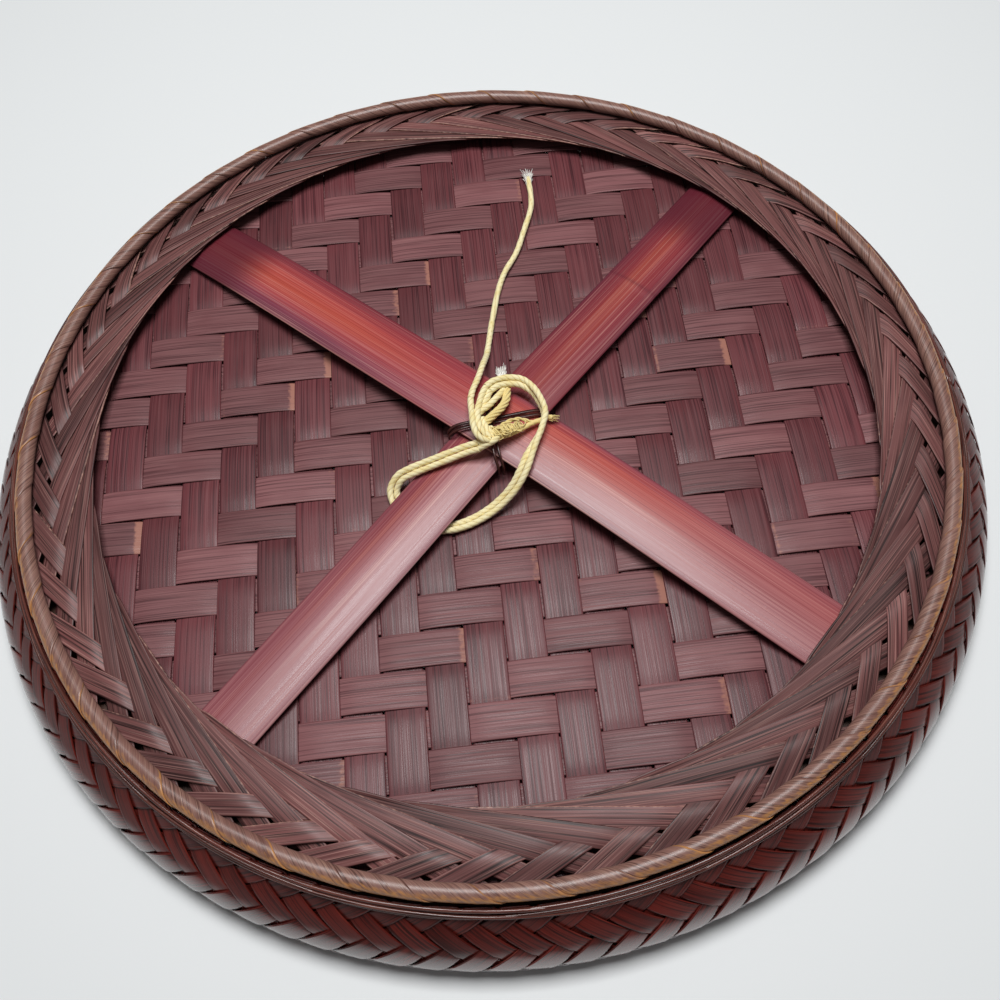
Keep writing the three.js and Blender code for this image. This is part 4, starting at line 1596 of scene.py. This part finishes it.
@dataclass
class FootHoop:
    """Wrapped hoop on the base's edge, with thin strands that run round just under it."""

    turns: int = 50
    wrap_radius: float = 2.9 * MM
    wrap_flatness: float = 1.2
    wrap_inset: float = 0.5 * MM
    wrap_lap: float = 0.2 * MM
    wrap_overlap: float = 1.12
    wrap_thickness: float = 0.34 * MM
    wrap_stretch: float = 1.4
    wrap_width: float = 27 * MM
    wrap_tone: float = 0.5
    # Golden seams: partly real rubbing, partly painted highlight along each turn's edge.
    seam_highlight_and_wear: Pair = (0.2, 1.0)
    seam_ends: Pair = (0.8, 1.0)
    # Golden outer side of the hoop: partly real rubbing, partly painted light.
    outer_light_and_wear: float = 0.66
    outer_ends: Pair = (-0.35, 0.75)
    steps_per_turn: int = 22
    columns: tuple[float, ...] = (-1.0, -0.9, -0.4, 0.4, 0.9, 1.0)
    strand_radius: float = 0.85 * MM
    strand_spread: float = 0.95 * MM
    strand_tuck: float = 0.6 * MM
    strand_points: int = 240
    strand_sides: int = 8
    strand_waves: tuple[int, ...] = (5, 7, 9)
    strand_play: float = 0.4
    strand_lean: float = 0.35
    drift: float = 0.2 * MM
    drift_waves: int = 3
    seed: int = 41

    def build_wrap(self, material: Material) -> None:
        """Builds the strip wound round the hoop.

        Args:
            material: The strip's material.
        """
        rng = random.Random(self.seed)
        pitch = FULL_TURN / self.turns
        pale_strengths = [rng.uniform(*self.seam_highlight_and_wear) for _ in range(self.turns + 1)]
        mesh = PieceMesh("hoop_wrap")
        length = self.turns * FULL_TURN * self.wrap_radius * self.wrap_stretch

        def place(along: float, across: float) -> Placed:
            """Places a point of the strip.

            Args:
                along: Share of the strip's length.
                across: Place across it from -1 to 1.

            Returns:
                The point and its marks value: golden seams and outer side, partly real rubbing and partly
                    painted light.
            """
            turn = along * self.turns
            wound = -math.pi / 2 - FULL_TURN * turn
            depth = self.wrap_radius + self.wrap_lap * across
            angle = pitch * (turn + across * self.wrap_overlap / 2)
            radius = HOOP_RING_RADIUS - self.wrap_inset + depth * self.wrap_flatness * math.cos(wound)
            # Seams and outer side made golden: painted light with some real rubbing.
            seam = pale_strengths[int(turn)] * ease(*self.seam_ends, across)
            marks_and_light = max(seam, self.outer_light_and_wear * ease(*self.outer_ends, math.cos(wound)))
            return polar(radius, angle, HOOP_HEIGHT + depth * math.sin(wound)), marks_and_light

        steps = self.turns * self.steps_per_turn
        mesh.add_strip(steps, self.columns, (length, self.wrap_width), self.wrap_tone, place)
        mesh.finish(material, Slot.WRAP, ("foot_hoop_wrap",), self.wrap_thickness)

    def build_strands(self, node: str, material: Material, rng: random.Random) -> None:
        """Builds a pair of strands that cross each other as they run round.

        Args:
            node: CAD node that they take the place of.
            material: Their material.
            rng: Source of their differences.
        """
        low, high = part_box(node)
        cad_radius = (high[2] - low[2]) / 2
        radius = high[0] - cad_radius - self.strand_tuck
        height = (high[2] + low[2]) / 2 + self.strand_tuck
        mesh = PieceMesh(f"{node}_pair")
        for member in range(2):
            waves = rng.choice(self.strand_waves)
            phase = member * math.pi + rng.uniform(-self.strand_play, self.strand_play)
            line = []
            for step in range(self.strand_points + 1):
                angle = FULL_TURN * step / self.strand_points
                swing = math.cos(waves * angle + phase) * self.strand_spread
                drift = math.sin(self.drift_waves * angle + phase) * self.drift
                line.append(polar(radius + self.strand_lean * swing + drift, angle, height - swing))
            outline = (self.strand_radius, 0.0)
            mesh.add_tube(line, self.strand_sides, rng.random(), lambda _along, _angle: outline)
        mesh.finish(material, Slot.STRAND, (node,))

    def build(self, wrap: Material, strand: Material) -> None:
        """Builds the wrap and the strands.

        Args:
            wrap: The wrap's material.
            strand: The strands' material.
        """
        self.build_wrap(wrap)
        rng = random.Random(self.seed + 1)
        for node in ("foot_strand_1", "foot_strand_2"):
            self.build_strands(node, strand, rng)


@dataclass
class CrossSlat:
    """Bowed bamboo slat with a crowned skin, its ends tucked under the collar."""

    name: str
    node: str
    width: float
    turn: float
    offset: float
    bow: float
    rings: tuple[float, ...]
    seed: int
    seat: float = 33.3 * MM
    reach: float = 200 * MM
    edge: float = 2.0 * MM
    crown: float = 1.4 * MM
    ring_height: float = 0.35 * MM
    ring_width: float = 1.6 * MM
    ring_stain: float = 0.6
    end_stain: float = 0.9
    end_ends: Pair = (0.62, 0.84)
    edge_drop: float = 0.35 * MM
    edge_ends: Pair = (0.9, 1.0)
    sway: float = 0.35 * MM
    sway_rate: float = 31
    step: float = 3.0 * MM
    columns: tuple[float, ...] = (-1.0, -0.965, -0.88, -0.6, -0.2, 0.2, 0.6, 0.88, 0.965, 1.0)

    def build(self, material: Material) -> None:
        """Builds the slat.

        Args:
            material: The slat's material.
        """
        rng = random.Random(self.seed)
        half = math.sqrt(self.reach**2 - (abs(self.offset) + self.width / 2) ** 2)
        turn = Matrix.Rotation(self.turn, 3, "Z")
        phase = rng.uniform(0, FULL_TURN)

        def place(along: float, across: float) -> Placed:
            """Places a point of the slat.

            Args:
                along: Share of the slat's length.
                across: Place across it from -1 to 1.

            Returns:
                The point and its wear.
            """
            distance = (2 * along - 1) * half
            bow = self.bow * (1 - (distance / half) ** 2)
            ring = sum(math.exp(-(((distance - spot) / self.ring_width) ** 2)) for spot in self.rings)
            sway = self.sway * math.sin(distance * self.sway_rate + phase)
            height = self.seat + self.edge + bow + self.crown * (1 - across**2) + self.ring_height * ring
            height -= self.edge_drop * ease(*self.edge_ends, abs(across))
            point = turn @ Vector((distance, self.offset + across * self.width / 2 + sway, height))
            end_stain = self.end_stain * ease(*self.end_ends, distance / half)
            return point, end_stain + self.ring_stain * ring

        mesh = PieceMesh(self.name)
        mesh.add_strip(round(2 * half / self.step), self.columns, (2 * half, self.width), rng.random(), place)
        mesh.finish(material, Slot.SLAT, (self.node,), self.edge, Side.BELOW)


@dataclass
class Lashing:
    """Pair of thin splints bound across the slats' crossing, from start to stop in millimetres."""

    name: str
    node: str
    start: Pair
    stop: Pair
    bend: float = 0.0
    width: float = 1.3 * MM
    thickness: float = 0.7 * MM
    gap: float = 1.2 * MM
    corner: float = 2.4 * MM
    shoulder: float = 0.08
    shoulder_bend: float = 0.35
    shoulder_drop: float = 0.5 * MM
    fibre_reach: float = 60 * MM
    tone: float = 0.3
    tone_step: float = 0.2
    per_span: int = 6

    def build(self, material: Material) -> None:
        """Builds the two splints.

        Args:
            material: The splints' material.
        """
        low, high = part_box(self.node)
        top = high[2] - self.thickness / 2
        bottom = low[2] + self.thickness / 2
        start = Vector((*self.start, 0)) * MM
        stop = Vector((*self.stop, 0)) * MM
        along = (stop - start).normalized()
        side = Vector((-along.y, along.x, 0))
        start -= along * self.corner
        stop += along * self.corner
        middle = (top + bottom) / 2
        shoulder = top - self.shoulder_drop
        spots = (
            (0.0, 0.0, bottom),
            (0.0, 0.0, middle),
            (self.shoulder, self.shoulder_bend, shoulder),
            (0.5, 1.0, top),
            (1 - self.shoulder, self.shoulder_bend, shoulder),
            (1.0, 0.0, middle),
            (1.0, 0.0, bottom),
        )
        mesh = PieceMesh(self.name)
        for member in (-1, 1):
            route = []
            for share, bend, height in spots:
                sideways = side * (self.bend * bend + member * self.gap)
                route.append(start.lerp(stop, share) + sideways + Vector((0, 0, height)))
            line = smooth_route(route, self.per_span)

            def place(share: float, across: float) -> Placed:
                """Places a point of the splint; it has no wear."""
                return line[round(share * (len(line) - 1))] + side * across * self.width / 2, 0.0

            tone = self.tone + self.tone_step * member
            mesh.add_strip(len(line) - 1, (-1.0, 1.0), (self.fibre_reach, self.width), tone, place)
        mesh.finish(material, Slot.LASHING, (self.node,), self.thickness)


@dataclass
class HiddenHoops:
    """Plain hoops inside the weave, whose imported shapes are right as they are."""

    nodes: tuple[str, ...] = ("mouth_hoop", "base_hoop", "foot_hoop")

    def build(self, material: Material) -> None:
        """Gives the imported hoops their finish.

        Args:
            material: The hoops' material.
        """
        for node in self.nodes:
            mesh = bpy.data.objects[node].data
            mesh.materials.clear()
            mesh.materials.append(material)
            log.info("%s: packed shape", node)


WARP_FINISH = BambooFinish(
    name="warp_bamboo", body=tint(106, 56, 60), dark=tint(70, 33, 38), pale=tint(136, 86, 88),
    worn_and_lit=tint(158, 106, 96), patch=tint(110, 56, 60), roughness=(0.26, 0.5), specular=0.26,
    fibre_length=90 * MM, fibre_width=0.72 * MM, pale_cover=(0.52, 0.74, 0.4), relief=0.035 * MM,
)
WEFT_FINISH = BambooFinish(
    name="weft_bamboo", body=tint(129, 85, 87), dark=tint(88, 53, 56), pale=tint(158, 113, 111),
    worn_and_lit=tint(164, 112, 98), patch=tint(109, 64, 67), roughness=(0.28, 0.6), specular=0.2,
    fibre_length=60 * MM, fibre_width=0.65 * MM, pale_cover=(0.52, 0.74, 0.4), relief=0.045 * MM,
)
COLLAR_FINISH = BambooFinish(
    name="collar_bamboo", body=tint(115, 72, 70), dark=tint(43, 22, 22), pale=tint(170, 125, 117),
    worn_and_lit=tint(190, 146, 130), patch=tint(88, 49, 49), roughness=(0.38, 0.6), specular=0.46,
    pale_cover=(0.52, 0.74, 0.75), tone_range=(0.62, 1.32), relief=0.05 * MM, fibre_length=80 * MM,
    fibre_width=0.8 * MM,
)
WALL_FINISH = BambooFinish(
    name="wall_bamboo", body=tint(98, 32, 26), dark=tint(46, 14, 12), pale=tint(124, 52, 42),
    worn_and_lit=tint(122, 70, 60), patch=tint(70, 20, 18), roughness=(0.3, 0.46), specular=0.22, coat=1.0,
    coat_roughness=0.1, coat_index=2.8, polish=(28 * MM, 43 * MM), fibre_width=0.8 * MM,
    relief=0.02 * MM,
)
WRAP_FINISH = BambooFinish(
    name="wrap_bamboo", body=tint(143, 105, 95), dark=tint(90, 60, 53), pale=tint(198, 160, 138),
    worn_and_lit=tint(196, 138, 84), patch=tint(120, 80, 72), roughness=(0.28, 0.42), fibre_length=40 * MM,
    fibre_width=0.55 * MM, relief=0.03 * MM,
)
STRAND_FINISH = BambooFinish(
    name="strand_bamboo", body=tint(102, 56, 48), dark=tint(50, 25, 22), pale=tint(150, 100, 84),
    worn_and_lit=tint(176, 140, 100), patch=tint(68, 36, 32), roughness=(0.14, 0.24), relief=0.03 * MM,
)
LOWER_SLAT_FINISH = SlatFinish(
    name="lower_slat_bamboo",
    width=LOWER_SLAT_WIDTH,
    # Near arm: the paler side across it is painted sheen.
    near_bands_with_sheen=bands(
        (0.0, 188, 150, 148), (0.02, 158, 106, 112), (0.3, 172, 118, 120), (0.43, 170, 112, 114),
        (0.46, 210, 162, 154), (0.49, 168, 106, 110), (0.58, 168, 102, 106), (0.68, 152, 78, 82),
        (0.75, 162, 82, 76), (0.83, 144, 68, 74), (1.0, 128, 66, 76),
    ),
    far_bands=bands(
        (0.0, 106, 48, 60), (0.2, 136, 52, 60), (0.38, 146, 56, 58), (0.44, 164, 71, 58),
        (0.5, 146, 57, 58), (0.57, 158, 68, 57), (0.66, 140, 52, 56), (1.0, 104, 44, 58),
    ),
    crossing=tint(140, 58, 64),
    near_end_sheen=tint(150, 92, 98),
)
UPPER_SLAT_FINISH = SlatFinish(
    name="upper_slat_bamboo",
    width=UPPER_SLAT_WIDTH,
    # Near arm: the paler side across it is painted sheen.
    near_bands_with_sheen=bands(
        (0.0, 140, 70, 82), (0.08, 160, 72, 78), (0.18, 184, 82, 72), (0.34, 182, 88, 80),
        (0.5, 178, 104, 100), (0.545, 210, 152, 144), (0.58, 178, 112, 110), (0.88, 162, 110, 114),
        (0.97, 140, 92, 100), (1.0, 200, 156, 150),
    ),
    far_bands=bands(
        (0.0, 118, 50, 60), (0.14, 146, 58, 64), (0.3, 176, 72, 66), (0.5, 184, 80, 64),
        (0.7, 168, 72, 74), (0.86, 124, 58, 76), (0.97, 112, 54, 70), (1.0, 196, 140, 134),
    ),
    crossing=tint(160, 66, 74),
    near_end_sheen=tint(160, 94, 98),
)
LASHING_FINISH = BambooFinish(
    name="lashing_bamboo", body=tint(84, 42, 38), dark=tint(36, 16, 14), pale=tint(142, 84, 76),
    worn_and_lit=tint(92, 54, 44), patch=tint(60, 28, 24), roughness=(0.22, 0.36), fibre_width=0.8 * MM,
)
LOWER_SLAT = CrossSlat(
    name="slat_skin_lower", node="slat_lower", width=LOWER_SLAT_WIDTH, turn=math.radians(48.4),
    offset=-9.7 * MM, bow=4.6 * MM, rings=(108 * MM, 113 * MM), seed=51,
)
UPPER_SLAT = CrossSlat(
    name="slat_skin_upper", node="slat_upper", width=UPPER_SLAT_WIDTH, turn=math.radians(139),
    offset=-0.5 * MM, bow=8.3 * MM, rings=(), seed=52,
)
LASHINGS = (
    Lashing("splints_across", "slat_lashing_across", start=(-14.5, -9.6), stop=(28.5, -3.8)),
    Lashing("splints_along", "slat_lashing_along", start=(6.4, -28.1), stop=(7.2, 14.7), bend=4 * MM),
)


def main() -> None:
    """Builds the studio and every sub-assembly of the tray."""
    studio = Studio()
    studio.build_camera()
    TieCord().build(CottonFinish().material())
    studio.build_floor()
    studio.build_light()
    effects = SharedEffects()
    BaseMat().build(WARP_FINISH.material(effects), WEFT_FINISH.material(effects))
    Collar().build(COLLAR_FINISH.material(effects))
    SideWall().build(WALL_FINISH.material(effects))
    FootHoop().build(WRAP_FINISH.material(effects), STRAND_FINISH.material(effects))
    LOWER_SLAT.build(LOWER_SLAT_FINISH.material(effects))
    UPPER_SLAT.build(UPPER_SLAT_FINISH.material(effects))
    lashing_material = LASHING_FINISH.material(effects)
    for lashing in LASHINGS:
        lashing.build(lashing_material)
    HiddenHoops().build(RodFinish().material())


if __name__ == "__main__":
    logging.basicConfig(level=logging.INFO)
    main()
